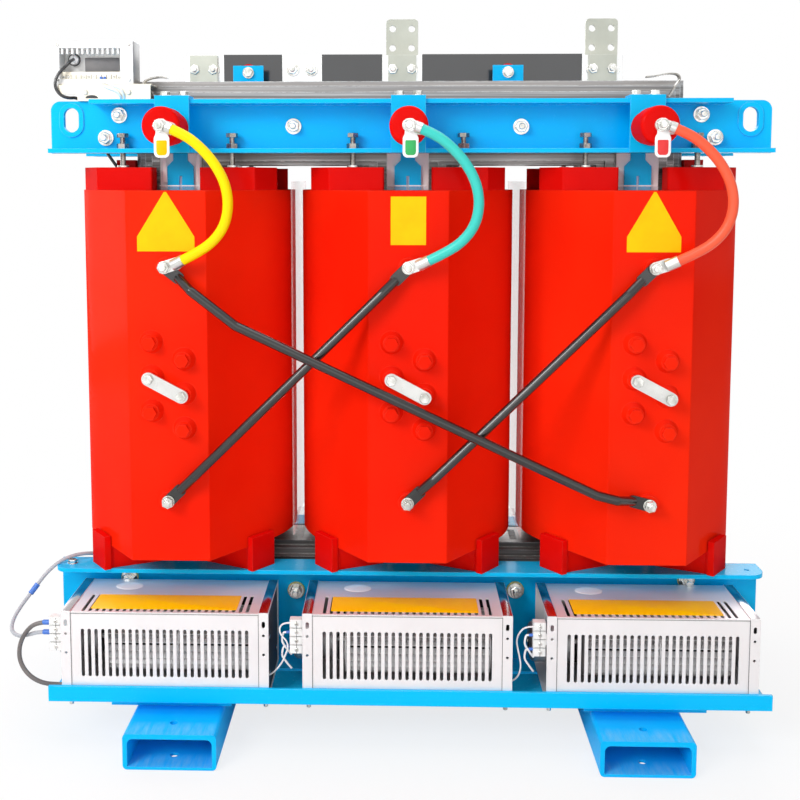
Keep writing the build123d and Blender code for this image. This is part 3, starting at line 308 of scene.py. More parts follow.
finishes = {
    "bluePaint": {
        "colour": (0.0, 0.5, 0.94), "second": (0.0, 0.57, 0.98), "driftScale": 1.4, "roughness": 0.26,
        "spread": 0.1, "grainScale": 160.0, "bump": 0.06, "depth": 0.0005, "wear": 0.6,
        "worn": (0.26, 0.7, 1.0), "dust": 0.04, "edge": 1.6,
        "shader": {"Specular IOR Level": 0.1, "Coat Weight": 0.04, "Coat Roughness": 0.08},
    },
    "footPaint": {
        "colour": (0.0, 0.47, 0.98), "second": (0.0, 0.53, 1.0), "driftScale": 1.4, "roughness": 0.3,
        "spread": 0.1, "grainScale": 160.0, "bump": 0.06, "depth": 0.0005, "wear": 0.6,
        "worn": (0.1, 0.6, 1.0), "dust": 0.03, "edge": 1.6,
        # a lighter blue band in streaks across the feet's top faces
        "lighterBand": {"Middle": 0.358, "Width": 0.026, "Band Colour": (0.14, 0.55, 0.95)},
        "shader": {"Specular IOR Level": 0.1, "Coat Weight": 0.03, "Coat Roughness": 0.1},
    },
    "coreSteel": {
        "colour": (0.09, 0.085, 0.08), "second": (0.05, 0.05, 0.052), "driftScale": 4.0, "roughness": 0.4,
        "bump": 0.25, "depth": 0.0005, "wear": 1.0, "worn": (0.8, 0.8, 0.78),
        "lines": {
            "Stretch": (0.5, 420.0, 90.0), "Scale": 1.0, "Contrast": 3.6, "Line Colour": (0.44, 0.42, 0.41),
        },
        "shader": {"Metallic": 0.6},
    },
    # the lighter edge colour of the cast resin is a painted highlight along the facet edges and the tap
    # bosses
    "castResin": {
        "colour": (0.84, 0.012, 0.002), "second": (0.97, 0.034, 0.006), "driftScale": 1.6, "drift": 0.6,
        "roughness": 0.24, "spread": 0.1, "grainScale": 45.0, "bump": 0.08, "depth": 0.0008, "wear": 0.5,
        "worn": (1.0, 0.1, 0.05), "dust": 0.02, "edge": 2.0,
        "shader": {"Specular IOR Level": 0.0, "Coat Weight": 0.06, "Coat Roughness": 0.12},
    },
    "innerResin": {
        "colour": (0.52, 0.012, 0.014), "second": (0.42, 0.02, 0.02), "roughness": 0.4, "bump": 0.2,
        "lines": {
            "Stretch": (0.3, 0.3, 26.0), "Scale": 1.0, "Contrast": 1.2, "Line Colour": (0.62, 0.03, 0.03),
        },
    },
    "mouldedResin": {
        "colour": (0.68, 0.003, 0.002), "second": (0.8, 0.008, 0.005), "roughness": 0.3, "spread": 0.1,
        "grainScale": 140.0, "bump": 0.05, "wear": 0.35, "worn": (0.95, 0.1, 0.08), "edge": 1.6,
        "shader": {"Specular IOR Level": 0.0, "Coat Weight": 0.08, "Coat Roughness": 0.14},
    },
    "linkMetal": {
        "colour": (0.66, 0.66, 0.64), "second": (0.5, 0.5, 0.48), "driftScale": 25.0, "roughness": 0.3,
        "spread": 0.2, "grainScale": 500.0, "edge": 0.8, "shader": {"Metallic": 0.9},
    },
    "platedBar": {
        "colour": (0.86, 0.86, 0.84), "second": (0.74, 0.74, 0.72), "driftScale": 14.0, "roughness": 0.3,
        "spread": 0.2, "wear": 0.6, "worn": (0.55, 0.52, 0.46), "edge": 1.0, "shader": {"Metallic": 0.6},
    },
    "blackSleeve": {
        "colour": (0.012, 0.012, 0.013), "second": (0.02, 0.02, 0.022), "driftScale": 14.0,
        "roughness": 0.17, "spread": 0.08, "grainScale": 120.0, "bump": 0.08, "depth": 0.0003, "dust": 0.06,
        "edge": 2.4, "shader": {"Coat Weight": 0.7, "Coat Roughness": 0.1},
    },
    "linkSleeve": {
        "colour": (0.005, 0.005, 0.005), "second": (0.014, 0.013, 0.013), "driftScale": 14.0,
        "roughness": 0.2, "spread": 0.08, "grainScale": 90.0, "bump": 0.06, "edge": 9.0,
        "shader": {"Specular IOR Level": 0.2, "Coat Weight": 1.0, "Coat Roughness": 0.14},
    },
    "yellowLead": {
        "colour": (0.98, 0.74, 0.0), "second": (0.9, 0.62, 0.0), "roughness": 0.36, "grainScale": 420.0,
        "bump": 0.12, "shader": {"Specular IOR Level": 0.15},
    },
    "greenLead": {
        "colour": (0.05, 0.62, 0.54), "second": (0.03, 0.5, 0.44), "roughness": 0.34, "grainScale": 420.0,
        "bump": 0.12, "shader": {"Specular IOR Level": 0.3},
    },
    "redLead": {
        "colour": (0.94, 0.12, 0.05), "second": (0.84, 0.08, 0.035), "roughness": 0.34, "grainScale": 420.0,
        "bump": 0.12, "shader": {"Specular IOR Level": 0.3},
    },
    "tinnedCopper": {
        "colour": (0.47, 0.48, 0.42), "second": (0.36, 0.37, 0.32), "driftScale": 9.0, "drift": 0.8,
        "roughness": 0.34, "spread": 0.2, "stretch": (6.0, 6.0, 1.0), "grainScale": 40.0, "bump": 0.14,
        "wear": 0.5, "worn": (0.8, 0.8, 0.76), "edge": 1.0, "shader": {"Metallic": 0.7},
    },
    "beigePlate": {
        "colour": (0.74, 0.69, 0.57), "second": (0.62, 0.58, 0.5), "driftScale": 16.0, "roughness": 0.38,
        "spread": 0.2, "grainScale": 180.0, "edge": 0.8, "shader": {"Metallic": 0.55},
    },
    "boxPlastic": {
        "colour": (0.86, 0.86, 0.85), "second": (0.78, 0.78, 0.77), "driftScale": 18.0, "roughness": 0.42,
        "grainScale": 600.0, "bump": 0.12, "dust": 0.12, "edge": 1.0,
    },
    "brightSheet": {
        "colour": (0.84, 0.82, 0.82), "second": (0.76, 0.74, 0.75), "driftScale": 7.0, "drift": 0.6,
        "roughness": 0.4, "stretch": (1.0, 30.0, 30.0), "grainScale": 22.0, "bump": 0.02, "depth": 0.0003,
        "wear": 0.5, "worn": (0.97, 0.97, 0.97), "edge": 1.0, "shader": {"Metallic": 0.4},
    },
    "polishedRim": {
        "colour": (0.5, 0.47, 0.48), "second": (0.4, 0.37, 0.38), "driftScale": 20.0, "roughness": 0.2,
        "spread": 0.08, "grainScale": 60.0, "bump": 0.02, "edge": 0.6, "shader": {"Metallic": 1.0},
    },
    "motorGrey": {
        "colour": (0.4, 0.41, 0.42), "second": (0.3, 0.31, 0.32), "driftScale": 20.0, "roughness": 0.4,
        "spread": 0.25, "grainScale": 260.0, "bump": 0.25, "edge": 1.0, "shader": {"Metallic": 0.8},
    },
    # the white edge colour of the rotor blades is a painted highlight inside the shaded housing
    "rotorMetal": {
        "colour": (0.8, 0.8, 0.81), "second": (0.66, 0.66, 0.67), "driftScale": 14.0, "roughness": 0.34,
        "spread": 0.2, "stretch": (1.0, 20.0, 20.0), "grainScale": 30.0, "wear": 1.0,
        "worn": (1.0, 1.0, 1.0), "shader": {"Metallic": 0.15},
    },
    "whiteBoard": {
        "colour": (0.98, 0.98, 0.97), "second": (0.92, 0.91, 0.88), "driftScale": 10.0, "roughness": 0.5,
        "grainScale": 320.0, "bump": 0.2, "edge": 0.6,
    },
    "filmBoard": {
        "colour": (0.95, 0.95, 0.94), "second": (0.88, 0.88, 0.86), "driftScale": 10.0, "roughness": 0.4,
        "grainScale": 320.0, "shader": {"Alpha": 0.18},
    },
    "cableGrey": {
        "colour": (0.44, 0.46, 0.5), "second": (0.34, 0.36, 0.4), "driftScale": 30.0, "roughness": 0.42,
        "grainScale": 500.0, "bump": 0.2,
    },
    "cableDark": {
        "colour": (0.12, 0.11, 0.11), "second": (0.22, 0.2, 0.19), "driftScale": 12.0, "drift": 0.9,
        "roughness": 0.4, "grainScale": 500.0, "bump": 0.2,
    },
    "whiteWire": {
        "colour": (0.86, 0.87, 0.88), "second": (0.74, 0.76, 0.8), "driftScale": 30.0, "roughness": 0.4,
        "grainScale": 600.0,
    },
    "zincBolt": {
        "colour": (0.78, 0.78, 0.75), "second": (0.34, 0.34, 0.3), "driftScale": 60.0, "drift": 0.9,
        "roughness": 0.22, "spread": 0.2, "grainScale": 500.0, "bump": 0.12, "wear": 0.5,
        "worn": (0.85, 0.85, 0.84), "edge": 0.5, "shader": {"Metallic": 0.95},
    },
    "darkBolt": {
        "colour": (0.36, 0.34, 0.31), "second": (0.13, 0.115, 0.1), "driftScale": 60.0, "drift": 0.9,
        "roughness": 0.26, "spread": 0.2, "grainScale": 500.0, "bump": 0.12, "wear": 0.7,
        "worn": (0.75, 0.75, 0.73), "edge": 0.5, "shader": {"Metallic": 0.9},
    },
    "yellowWasher": {
        "colour": (0.88, 0.72, 0.24), "second": (0.74, 0.56, 0.18), "driftScale": 40.0, "roughness": 0.42,
        "grainScale": 400.0, "bump": 0.15,
    },
    "yellowFoil": {
        "colour": (0.98, 0.57, 0.0), "second": (0.95, 0.47, 0.0), "driftScale": 30.0, "roughness": 0.4,
        "spread": 0.2, "grainScale": 120.0, "bump": 0.12, "depth": 0.0003,
        "shader": {"Specular IOR Level": 0.12},
    },
    "whiteFoil": {
        "colour": (0.96, 0.96, 0.96), "second": (0.9, 0.9, 0.91), "driftScale": 40.0, "roughness": 0.5,
        "grainScale": 120.0, "depth": 0.0003, "shader": {"Specular IOR Level": 0.2},
    },
    "greenFoil": {
        "colour": (0.02, 0.42, 0.1), "second": (0.02, 0.36, 0.08), "driftScale": 40.0, "grainScale": 200.0,
    },
    "redFoil": {
        "colour": (0.8, 0.03, 0.03), "second": (0.7, 0.02, 0.02), "driftScale": 40.0, "grainScale": 200.0,
    },
    # near-black for dark joints, the gland ring and the motor hubs, and painted shade on the fans' end and
    # back sheets
    "darkInside": {
        "colour": (0.03, 0.03, 0.035), "second": (0.06, 0.06, 0.06), "driftScale": 40.0, "roughness": 0.6,
        "grainScale": 200.0, "bump": 0.2,
    },
    "ferruleBlue": {
        "colour": (0.05, 0.18, 0.62), "second": (0.05, 0.14, 0.5), "driftScale": 40.0, "grainScale": 200.0,
    },
    "clearFilm": {
        "colour": (0.86, 0.92, 0.97), "second": (0.76, 0.85, 0.94), "roughness": 0.2, "grainScale": 90.0,
        "shader": {"Alpha": 0.12},
    },
    # the box window's own grey, and painted shade on the box's right side
    "greyPlastic": {
        "colour": (0.16, 0.16, 0.17), "second": (0.26, 0.25, 0.25), "driftScale": 18.0, "drift": 0.9,
        "roughness": 0.4,
    },
}
materials = {name: makeFinish(name, settings) for name, settings in finishes.items()}
print("finishes made:", len(materials))


# bluePaint covers the slot blue_paint, and so on
def slotNamed(finish):
    return "".join("_" + letter.lower() if letter.isupper() else letter for letter in finish)


slotOfFinish = {name: slotNamed(name) for name in finishes}
finishOfSlot = {slotName: name for name, slotName in slotOfFinish.items()}
slotOfFinish["cableDark"] = "cable_grey"
# nodes whose finish isn't their slot's own
ownFinish = {
    "foot_left": "footPaint", "foot_right": "footPaint", "neutral_bar": "platedBar",
    "phase_barriers": "filmBoard", "delta_link_a_c": "linkSleeve",
    "delta_link_b_a": "linkSleeve", "delta_link_c_b": "linkSleeve",
}
for part in frame["record"]["subparts"]:
    node = cadNodes[part["node"]]
    finish = materials[ownFinish.get(part["node"], finishOfSlot[part["material_slot"]])]
    if not node.material_slots:
        node.data.materials.append(finish)
    for place in node.material_slots:
        place.material = finish
print("finishes laid on", len(cadNodes), "pieces")


# cords: each one smooth line along its route
def addCord(node, route, s):
    data = bpy.data.curves.new(node + "_line", "CURVE")
    data.dimensions = "3D"
    data.bevel_depth = s["diameter"] / 2000
    data.bevel_resolution = 6
    data.use_fill_caps = True
    line = data.splines.new("NURBS")
    line.points.add(len(route) - 1)
    for point, corner in zip(line.points, route):
        point.co = (*metres(corner), 1)
    line.order_u = 3
    line.use_endpoint_u = True
    line.resolution_u = 12
    data.materials.append(materials[s["finish"]])
    piece = bpy.data.objects.new(node + "_line", data)
    bpy.context.scene.collection.objects.link(piece)
    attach(piece, mainBody)
    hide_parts(node)


phaseLeadRoute = (
    (22, -289, 1101), (46, -292, 1091), (72, -295, 1071), (97, -297, 1043), (115, -298, 1009),
    (120.5, -299, 972), (113, -296, 937), (92, -290, 909), (64, -283, 890), (36, -276, 876),
)
phaseLead = {"diameter": 18, "length": 0.308, "stiffness": "medium", "lay": "hanging"}
for x, phase, finish in zip(phaseX, phaseNames, ("yellowLead", "greenLead", "redLead")):
    route = [(x + across, y, z) for across, y, z in phaseLeadRoute]
    addCord("phase_lead_" + phase, route, {**phaseLead, "finish": finish})

cordRoutes = {
    "fan_cable": {
        "diameter": 8, "length": 0.226, "stiffness": "medium", "lay": "hanging", "finish": "cableDark",
        "route": (
            (-641, -280, 223), (-666, -280, 223), (-686, -282, 206), (-698, -283, 180), (-698, -283, 150),
            (-683, -282, 124), (-659, -279, 108), (-630, -270, 102), (-600, -270, 102),
        ),
    },
    "link_cable": {
        "diameter": 7, "length": 0.423, "stiffness": "medium", "lay": "hanging", "finish": "cableGrey",
        "route": (
            (-523, -80, 262), (-549, -80, 262), (-577, -90, 277), (-604, -108, 291), (-634, -128, 296),
            (-662, -147, 290), (-686, -161, 270), (-704, -176, 245), (-722, -196, 221), (-731, -219, 203),
            (-727, -243, 191), (-708, -262, 188), (-685, -274, 196), (-663, -280, 205), (-641, -280, 205),
        ),
    },
    "sensor_cable": {
        "diameter": 6, "length": 0.334, "stiffness": "limp", "lay": "hanging", "finish": "blackSleeve",
        "route": (
            (-629, -84, 1240), (-629, -104, 1240), (-634, -121, 1228), (-652, -127, 1208), (-656, -130, 1188),
            (-647, -127, 1172), (-634, -119, 1166.5), (-620, -105, 1169), (-609, -94, 1153),
            (-602, -85, 1125), (-590, -78, 1091), (-568, -75, 1056), (-546, -75, 1026), (-546, -75, 996),
        ),
    },
    "fan_wire_middle": {
        "diameter": 3, "length": 0.144, "stiffness": "limp", "lay": "hanging", "finish": "whiteWire",
        "route": (
            (-209, -280, 227), (-222, -280, 227), (-229, -283, 216), (-224, -285, 205), (-214.5, -286, 196),
            (-212, -286, 184), (-217, -285, 170), (-224, -284, 154), (-236, -281, 138), (-249, -278, 127),
            (-264, -278, 127),
        ),
    },
    "fan_wire_right": {
        "diameter": 3, "length": 0.144, "stiffness": "limp", "lay": "hanging", "finish": "whiteWire",
        "route": (
            (223, -280, 225), (210, -280, 225), (199, -283, 216), (193.5, -284, 202), (196, -285, 187),
            (200, -285, 170), (202.5, -284, 152), (198, -281, 133), (184, -278, 121), (168, -278, 121),
        ),
    },
}
for node, settings in cordRoutes.items():
    addCord(node, settings["route"], settings)
print("cords laid:", len(phaseNames) + len(cordRoutes))


# the frame of a small piece: its z axis points along direction
def facing(place, direction):
    turned = Vector(direction).normalized().to_track_quat("Z", "Y").to_matrix().to_4x4()
    return Matrix.Translation(metres(place)) @ turned


# the frame moved along its own z axis
def raised(place, height):
    return place @ Matrix.Translation((0, 0, height / 1000))


def circlePoint(radius, angle):
    return math.cos(angle) * radius, math.sin(angle) * radius


# turns a profile of (radius, height) pairs in millimetres about the z axis of place
def addLathe(mesh, place, profile, steps=28):
    rings = []
    for radius, height in profile:
        if radius < 1e-6:
            rings.append([mesh.verts.new(place @ metres((0, 0, height)))])
            continue
        ring = []
        for step in range(steps):
            x, y = circlePoint(radius, 2 * math.pi * step / steps)
            ring.append(mesh.verts.new(place @ metres((x, y, height))))
        rings.append(ring)
    for lower, upper in zip(rings, rings[1:]):
        for step in range(steps):
            after = (step + 1) % steps
            if len(lower) == 1 and len(upper) == 1:
                continue
            if len(lower) == 1:
                mesh.faces.new((lower[0], upper[after], upper[step]))
            elif len(upper) == 1:
                mesh.faces.new((lower[step], lower[after], upper[0]))
            else:
                mesh.faces.new((lower[step], lower[after], upper[after], upper[step]))


# a flat plate with that outline in millimetres, with softened edges
def addPlate(mesh, place, outline, thickness, soften=0.0, steps=2):
    back = [mesh.verts.new(place @ metres((x, y, 0))) for x, y in outline]
    front = [mesh.verts.new(place @ metres((x, y, thickness))) for x, y in outline]
    faces = [mesh.faces.new(list(reversed(back))), mesh.faces.new(front)]
    count = len(outline)
    for step in range(count):
        after = (step + 1) % count
        faces.append(mesh.faces.new((back[step], back[after], front[after], front[step])))
    if soften > 0:
        edges = list(faces[1].edges)
        bmesh.ops.bevel(
            mesh, geom=edges, offset=soften / 1000, segments=steps, affect="EDGES", profile=0.5,
        )


def roundedOutline(width, height, radius, steps=6):
    points = []
    for sideX, sideY, start in ((1, 1, 0), (-1, 1, 90), (-1, -1, 180), (1, -1, 270)):
        cornerX, cornerY = sideX * (width / 2 - radius), sideY * (height / 2 - radius)
        for step in range(steps + 1):
            x, y = circlePoint(radius, math.radians(start + 90 * step / steps))
            points.append((cornerX + x, cornerY + y))
    return points


def ringOutline(radius, sides):
    return [circlePoint(radius, 2 * math.pi * side / sides) for side in range(sides)]


# a hexagon with its corners cut back, with a stud in the middle where it has one
def addHexNut(mesh, place, s):
    radius, height = s["radius"], s["height"]
    cut = radius * 0.09
    place = place @ Matrix.Rotation(math.radians(s.get("turn", 0)), 4, "Z")
    levels = ((radius - cut, 0.0), (radius, cut * 0.6), (radius, height - cut * 0.6), (radius - cut, height))
    addLathe(mesh, place, [(0, 0), *levels, (radius * 0.8, height), (0, height)], steps=6)
    if s.get("stud", 0) > 0:
        shank, top = s["shank"], height + s["stud"]
        addLathe(mesh, place, [(shank, height - 0.5), (shank, top - 1), (shank - 1, top), (0, top)], steps=16)


washerEdge = 0.4


def addWasher(mesh, place, radius, thickness):
    flat, low, high = radius - washerEdge, washerEdge, thickness - washerEdge
    rim = ((flat, 0), (radius, low), (radius, high), (flat, thickness))
    addLathe(mesh, place, [(0, 0), *rim, (0, thickness)])


# a washer given as (radius, thickness), and a nut or a bolt's head on it
def addBolt(mesh, place, washer, nut):
    addWasher(mesh, place, *washer)
    addHexNut(mesh, raised(place, washer[1]), nut)


# a round bar along points, with closed ends
def addTube(mesh, points, radius, sides=10):
    line = [metres(point) for point in points]
    rings = []
    for index, point in enumerate(line):
        ahead = line[min(index + 1, len(line) - 1)] - line[max(index - 1, 0)]
        turned = ahead.normalized().to_track_quat("Z", "Y").to_matrix()
        outline = ringOutline(radius, sides)
        rings.append([mesh.verts.new(point + turned @ metres((x, y, 0))) for x, y in outline])
    for lower, upper in zip(rings, rings[1:]):
        for side in range(sides):
            after = (side + 1) % sides
            mesh.faces.new((lower[side], lower[after], upper[after], upper[side]))
    mesh.faces.new(list(reversed(rings[0])))
    mesh.faces.new(rings[-1])


# points on a smooth line through the corners, by the Catmull-Rom formula
def smoothPath(corners, steps=6):
    points = [Vector(corner) for corner in corners]
    padded = [2 * points[0] - points[1], *points, 2 * points[-1] - points[-2]]
    result = []
    for before, start, end, after in zip(padded, padded[1:], padded[2:], padded[3:]):
        for step in range(steps):
            t = step / steps
            square = (2 * before - 5 * start + 4 * end - after) * t ** 2
            cube = (3 * start - before - 3 * end + after) * t ** 3
            result.append(0.5 * (2 * start + (end - before) * t + square + cube))
    result.append(points[-1])
    return [tuple(point) for point in result]


def finishPiece(name, mesh, finish, slotName=None):
    bmesh.ops.remove_doubles(mesh, verts=mesh.verts, dist=1e-6)
    bmesh.ops.recalc_face_normals(mesh, faces=mesh.faces)
    data = bpy.data.meshes.new(name)
    mesh.to_mesh(data)
    mesh.free()
    data.materials.append(materials[finish])
    data.shade_smooth()
    data.set_sharp_from_angle(angle=math.radians(32))
    piece = bpy.data.objects.new(name, data)
    bpy.context.scene.collection.objects.link(piece)
    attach(piece, mainBody)


# small fixed turns, so that no two nuts stand alike
def scatter(places):
    return [(place, (index * 37) % 60) for index, place in enumerate(places)]


frontAndRear = (-1, 1)
front, up, right = (0, -1, 0), (0, 0, 1), (1, 0, 0)
webOuter, flangeEdge = 116.2, 171.2

# nuts and washers of the clamps' tie bolts
clampBolts = {
    "nut": {"radius": 11.5, "height": 10, "stud": 9, "shank": 5.8},
    "washer": (15, 3),
    "upper": ((-539, 1135), (-565, 1093), (539, 1135), (565, 1093), (-213, 1114), (209, 1113)),
    "lower": ((-213, 225), (209, 230), (-536, 248), (534, 253)),
    "spacer": (16.5, 5),
}


def addClampBolts(s):
    metal, spacers = bmesh.new(), bmesh.new()
    for end in frontAndRear:
        for (x, z), turn in scatter(s["upper"]):
            place = facing((x, end * webOuter, z), (0, end, 0))
            addBolt(metal, place, s["washer"], {**s["nut"], "turn": turn})
        for (x, z), turn in scatter(s["lower"]):
            place = facing((x, end * webOuter, z), (0, end, 0))
            addWasher(spacers, place, *s["spacer"])
            addBolt(metal, raised(place, s["spacer"][1]), s["washer"], {**s["nut"], "turn": turn})
    finishPiece("clamp_nuts", metal, "zincBolt", "link_metal")
    finishPiece("clamp_spacers", spacers, "yellowWasher", "beige_plate")


addClampBolts(clampBolts)

# pressure bolts: a screw through the upper clamp's foot flange down to each block
pressureBolts = {
    "offset": 102, "y": 131, "low": 1038, "flange": 1072, "top": 1101, "foot": (11, 4), "shank": 5,
    "nut": {"radius": 11.5, "height": 10}, "head": {"radius": 11, "height": 8},
}


def addPressureBolts(s):
    metal, pads = bmesh.new(), bmesh.new()
    footTop, headLow = s["low"] + s["foot"][1], s["top"] - s["head"]["height"]
    for end in frontAndRear:
        for index, x in enumerate([x + side * s["offset"] for x in phaseX for side in (-1, 1)]):
            place = facing((x, end * s["y"], 0), up)
            addWasher(pads, raised(place, s["low"]), *s["foot"])
            addLathe(metal, raised(place, footTop), [(s["shank"], 0), (s["shank"], headLow - footTop)], 16)
            addHexNut(metal, raised(place, s["flange"]), {**s["nut"], "turn": index * 31})
            addHexNut(metal, raised(place, headLow), {**s["head"], "turn": index * 17})
    finishPiece("pressure_bolts", metal, "darkBolt", "link_metal")
    finishPiece("pressure_feet", pads, "zincBolt", "link_metal")


addPressureBolts(pressureBolts)

# screws of the insulators, the terminals, the insulator straps, the tap links and the lower clamp's left end
frontScrews = {
    "terminal": {"washer": (11.5, 2.2), "nut": {"radius": 10.5, "height": 9, "shank": 6.4}},
    "terminalPlaces": ((-266, 862, 4.5), (-262, 441, 8), (-280.9, 1108, 7)),
    "strap": {"offset": 17, "y": -151, "z": 1167.2, "washer": (11, 2), "head": {"radius": 9, "height": 7}},
    "tap": {"offset": 29, "y": -279, "z": {-1: 665.5, 1: 634.5}, "head": {"radius": 9.5, "height": 6}},
    "flange": {
        "place": (-640, -143.2, 283), "washer": (9.5, 1.5), "head": {"radius": 8.5, "height": 6, "turn": 12},
    },
}


def addFrontScrews(s):
    metal = bmesh.new()
    terminal, strap, tap, flange = s["terminal"], s["strap"], s["tap"], s["flange"]
    for index, x in enumerate(phaseX):
        for row, (y, z, stud) in enumerate(s["terminalPlaces"]):
            nut = {**terminal["nut"], "stud": stud, "turn": 19 * index + 33 * row}
            addBolt(metal, facing((x, y, z), front), terminal["washer"], nut)
        for side in (-1, 1):
            place = facing((x + side * strap["offset"], strap["y"], strap["z"]), up)
            addBolt(metal, place, strap["washer"], {**strap["head"], "turn": 14 * index})
            place = facing((x + side * tap["offset"], tap["y"], tap["z"][side]), front)
            addHexNut(metal, place, {**tap["head"], "turn": 8 * index})
    addBolt(metal, facing(flange["place"], up), flange["washer"], flange["head"])
    finishPiece("front_screws", metal, "zincBolt", "link_metal")


addFrontScrews(frontScrews)

# hanging phase tags: a white plate with a neck and a coloured field, one on each insulator's stud
tagSettings = {
    "y": -279.3, "middleZ": 1080, "shift": 3, "thickness": 1.5, "fieldThickness": 0.4,
    "half": (
        (7, 1053), (11.5, 1055.5), (13.5, 1060), (13.5, 1086), (12, 1090), (10, 1093), (10, 1110),
        (7.5, 1116.5), (3.5, 1119.5),
    ),
    "field": ((5, 1057), (8, 1059), (9.2, 1063), (9.2, 1081), (8, 1082.5)),
    "fields": {
        "a": ("yellowFoil", "yellow_lead"), "b": ("greenFoil", "green_lead"), "c": ("redFoil", "red_lead"),
    },
}


# points in the object's frame as an outline in the frame of place
def outlineAt(place, points):
    turned = [place.inverted() @ metres(point) for point in points]
    return [(point.x * 1000, point.y * 1000) for point in turned]


# the same for points (across, z) in the plane y
def flatOutline(place, x, y, points):
    return outlineAt(place, [(x + across, y, z) for across, z in points])


# the same for points (y, z) in the plane x
def sideOutline(place, x, points):
    return outlineAt(place, [(x, y, z) for y, z in points])


def mirrored(points):
    return [*points, *[(-across, z) for across, z in reversed(points)]]


def addTags(s):
    for x, phase in zip(phaseX, phaseNames):
        plate, field = bmesh.new(), bmesh.new()
        middle, top = x + s["shift"], s["y"] - s["thickness"]
        place = facing((middle, s["y"], s["middleZ"]), front)
        outline = flatOutline(place, middle, s["y"], mirrored(s["half"]))
        addPlate(plate, place, outline, s["thickness"], 0.4)
        place = facing((middle, top, s["middleZ"]), front)
        outline = flatOutline(place, middle, top, mirrored(s["field"]))
        addPlate(field, place, outline, s["fieldThickness"], 0.1)
        finishPiece("tag_plate_" + phase, plate, "whiteFoil", "box_plastic")
        finishPiece("tag_field_" + phase, field, *s["fields"][phase])


addTags(tagSettings)

# blank yellow plates on the coils' flat fronts
plateSettings = {
    "y": -246.0, "thickness": 0.8,
    "outlines": {
        "a": ((-51, 889), (51, 889), (51, 915), (2, 994), (-2, 994), (-51, 915)),
        "b": ((-31, 901), (31, 901), (31, 986), (-31, 986)),
        "c": ((-47, 889), (47, 889), (47, 916), (2, 994), (-2, 994), (-47, 916)),
    },
}


def addCoilPlates(s):
    for x, phase in zip(phaseX, phaseNames):
        plate = bmesh.new()
        place = facing((x, s["y"], 0), front)
        addPlate(plate, place, flatOutline(place, x, s["y"], s["outlines"][phase]), s["thickness"], 0.2, 1)
        finishPiece("coil_plate_" + phase, plate, "yellowFoil", "yellow_lead")


addCoilPlates(plateSettings)
print("front fittings made")

# stickers, screws, dark joints, sheets of painted shade inside the housings and wiring of the fans
fanSettings = {
    "half": 186, "front": 296, "top": 249, "middleY": 214.5, "middleZ": 170.5, "rim": 18,
    "sticker": {"x": (-136, 127), "y": (213, 280), "corner": 3},
    "oval": {"x": -92, "y": 169, "size": (51, 34)},
    "label": (0.4, 0.1), "rimStrip": (16.5, 160, 1), "sideLine": (0.9, 155, 0.4, 2), "lineDepth": 0.2,
    "railNut": {"y": 270, "z": 80, "nut": {"radius": 8, "height": 6, "stud": 8, "shank": 4}},
    "railHead": {"y": 270, "z": 94, "nut": {"radius": 7, "height": 5, "turn": 12}},
    "block": {"x": -11, "y": 288, "z": (181, 197, 213, 228), "middleZ": 204, "tailX": -23},
    "end": {"inset": 4, "outline": ((136, 94), (293, 94), (293, 247), (136, 247)), "thickness": 1.5},
    "endScrews": ((268, 128), (268, 196), (160, 128)), "endScrew": (4.5, 2),
    "back": {"shift": 14, "y": 141, "size": (290, 146)},
    "motor": {"x": -22, "z": 171, "hub": 10, "hubHeight": 1.2},
    "tail": ((-6, 0, 0), (-12, -0.5, -2), (-14, -2, -16), (-6, -1, -30), (2, 3, -42)), "tailRadius": 1.9,
    "leftFerrules": {"x": -641, "z": (205, 223)}, "wireY": -280,
}


# the sheet's labels, the rims' bright strips and the thin lines where the sheets meet
def addFanSheets(s, x, end, meshes):
    label, (lowX, highX), (lowY, highY) = s["label"], s["sticker"]["x"], s["sticker"]["y"]
    place = Matrix.Translation(metres((x + (lowX + highX) / 2, end * (lowY + highY) / 2, s["top"])))
    outline = roundedOutline(highX - lowX, highY - lowY, s["sticker"]["corner"])
    addPlate(meshes["stickers"], place, outline, *label)
    place = Matrix.Translation(metres((x + s["oval"]["x"], end * s["oval"]["y"], s["top"])))
    width, depth = s["oval"]["size"]
    outline = [(a * width / 2, b * depth / 2) for a, b in ringOutline(1, 32)]
    addPlate(meshes["ovals"], place, outline, *label)
    inner, rimX = s["half"] - s["rim"], s["half"] - s["rim"] / 2
    for side in (-1, 1):
        place = Matrix.Translation(metres((x + side * rimX, end * s["middleY"], s["top"] + 1)))
        addPlate(meshes["rims"], place, roundedOutline(*s["rimStrip"]), 0.5, 0.1)
        place = facing((x + side * inner, end * s["front"], s["middleZ"]), (0, end, 0))
        addPlate(meshes["darks"], place, roundedOutline(*s["sideLine"]), s["lineDepth"])
    place = facing((x, end * s["front"], s["top"] - 2.5), (0, end, 0))
    addPlate(meshes["darks"], place, roundedOutline(2 * inner, 0.7, 0.3, 2), s["lineDepth"])
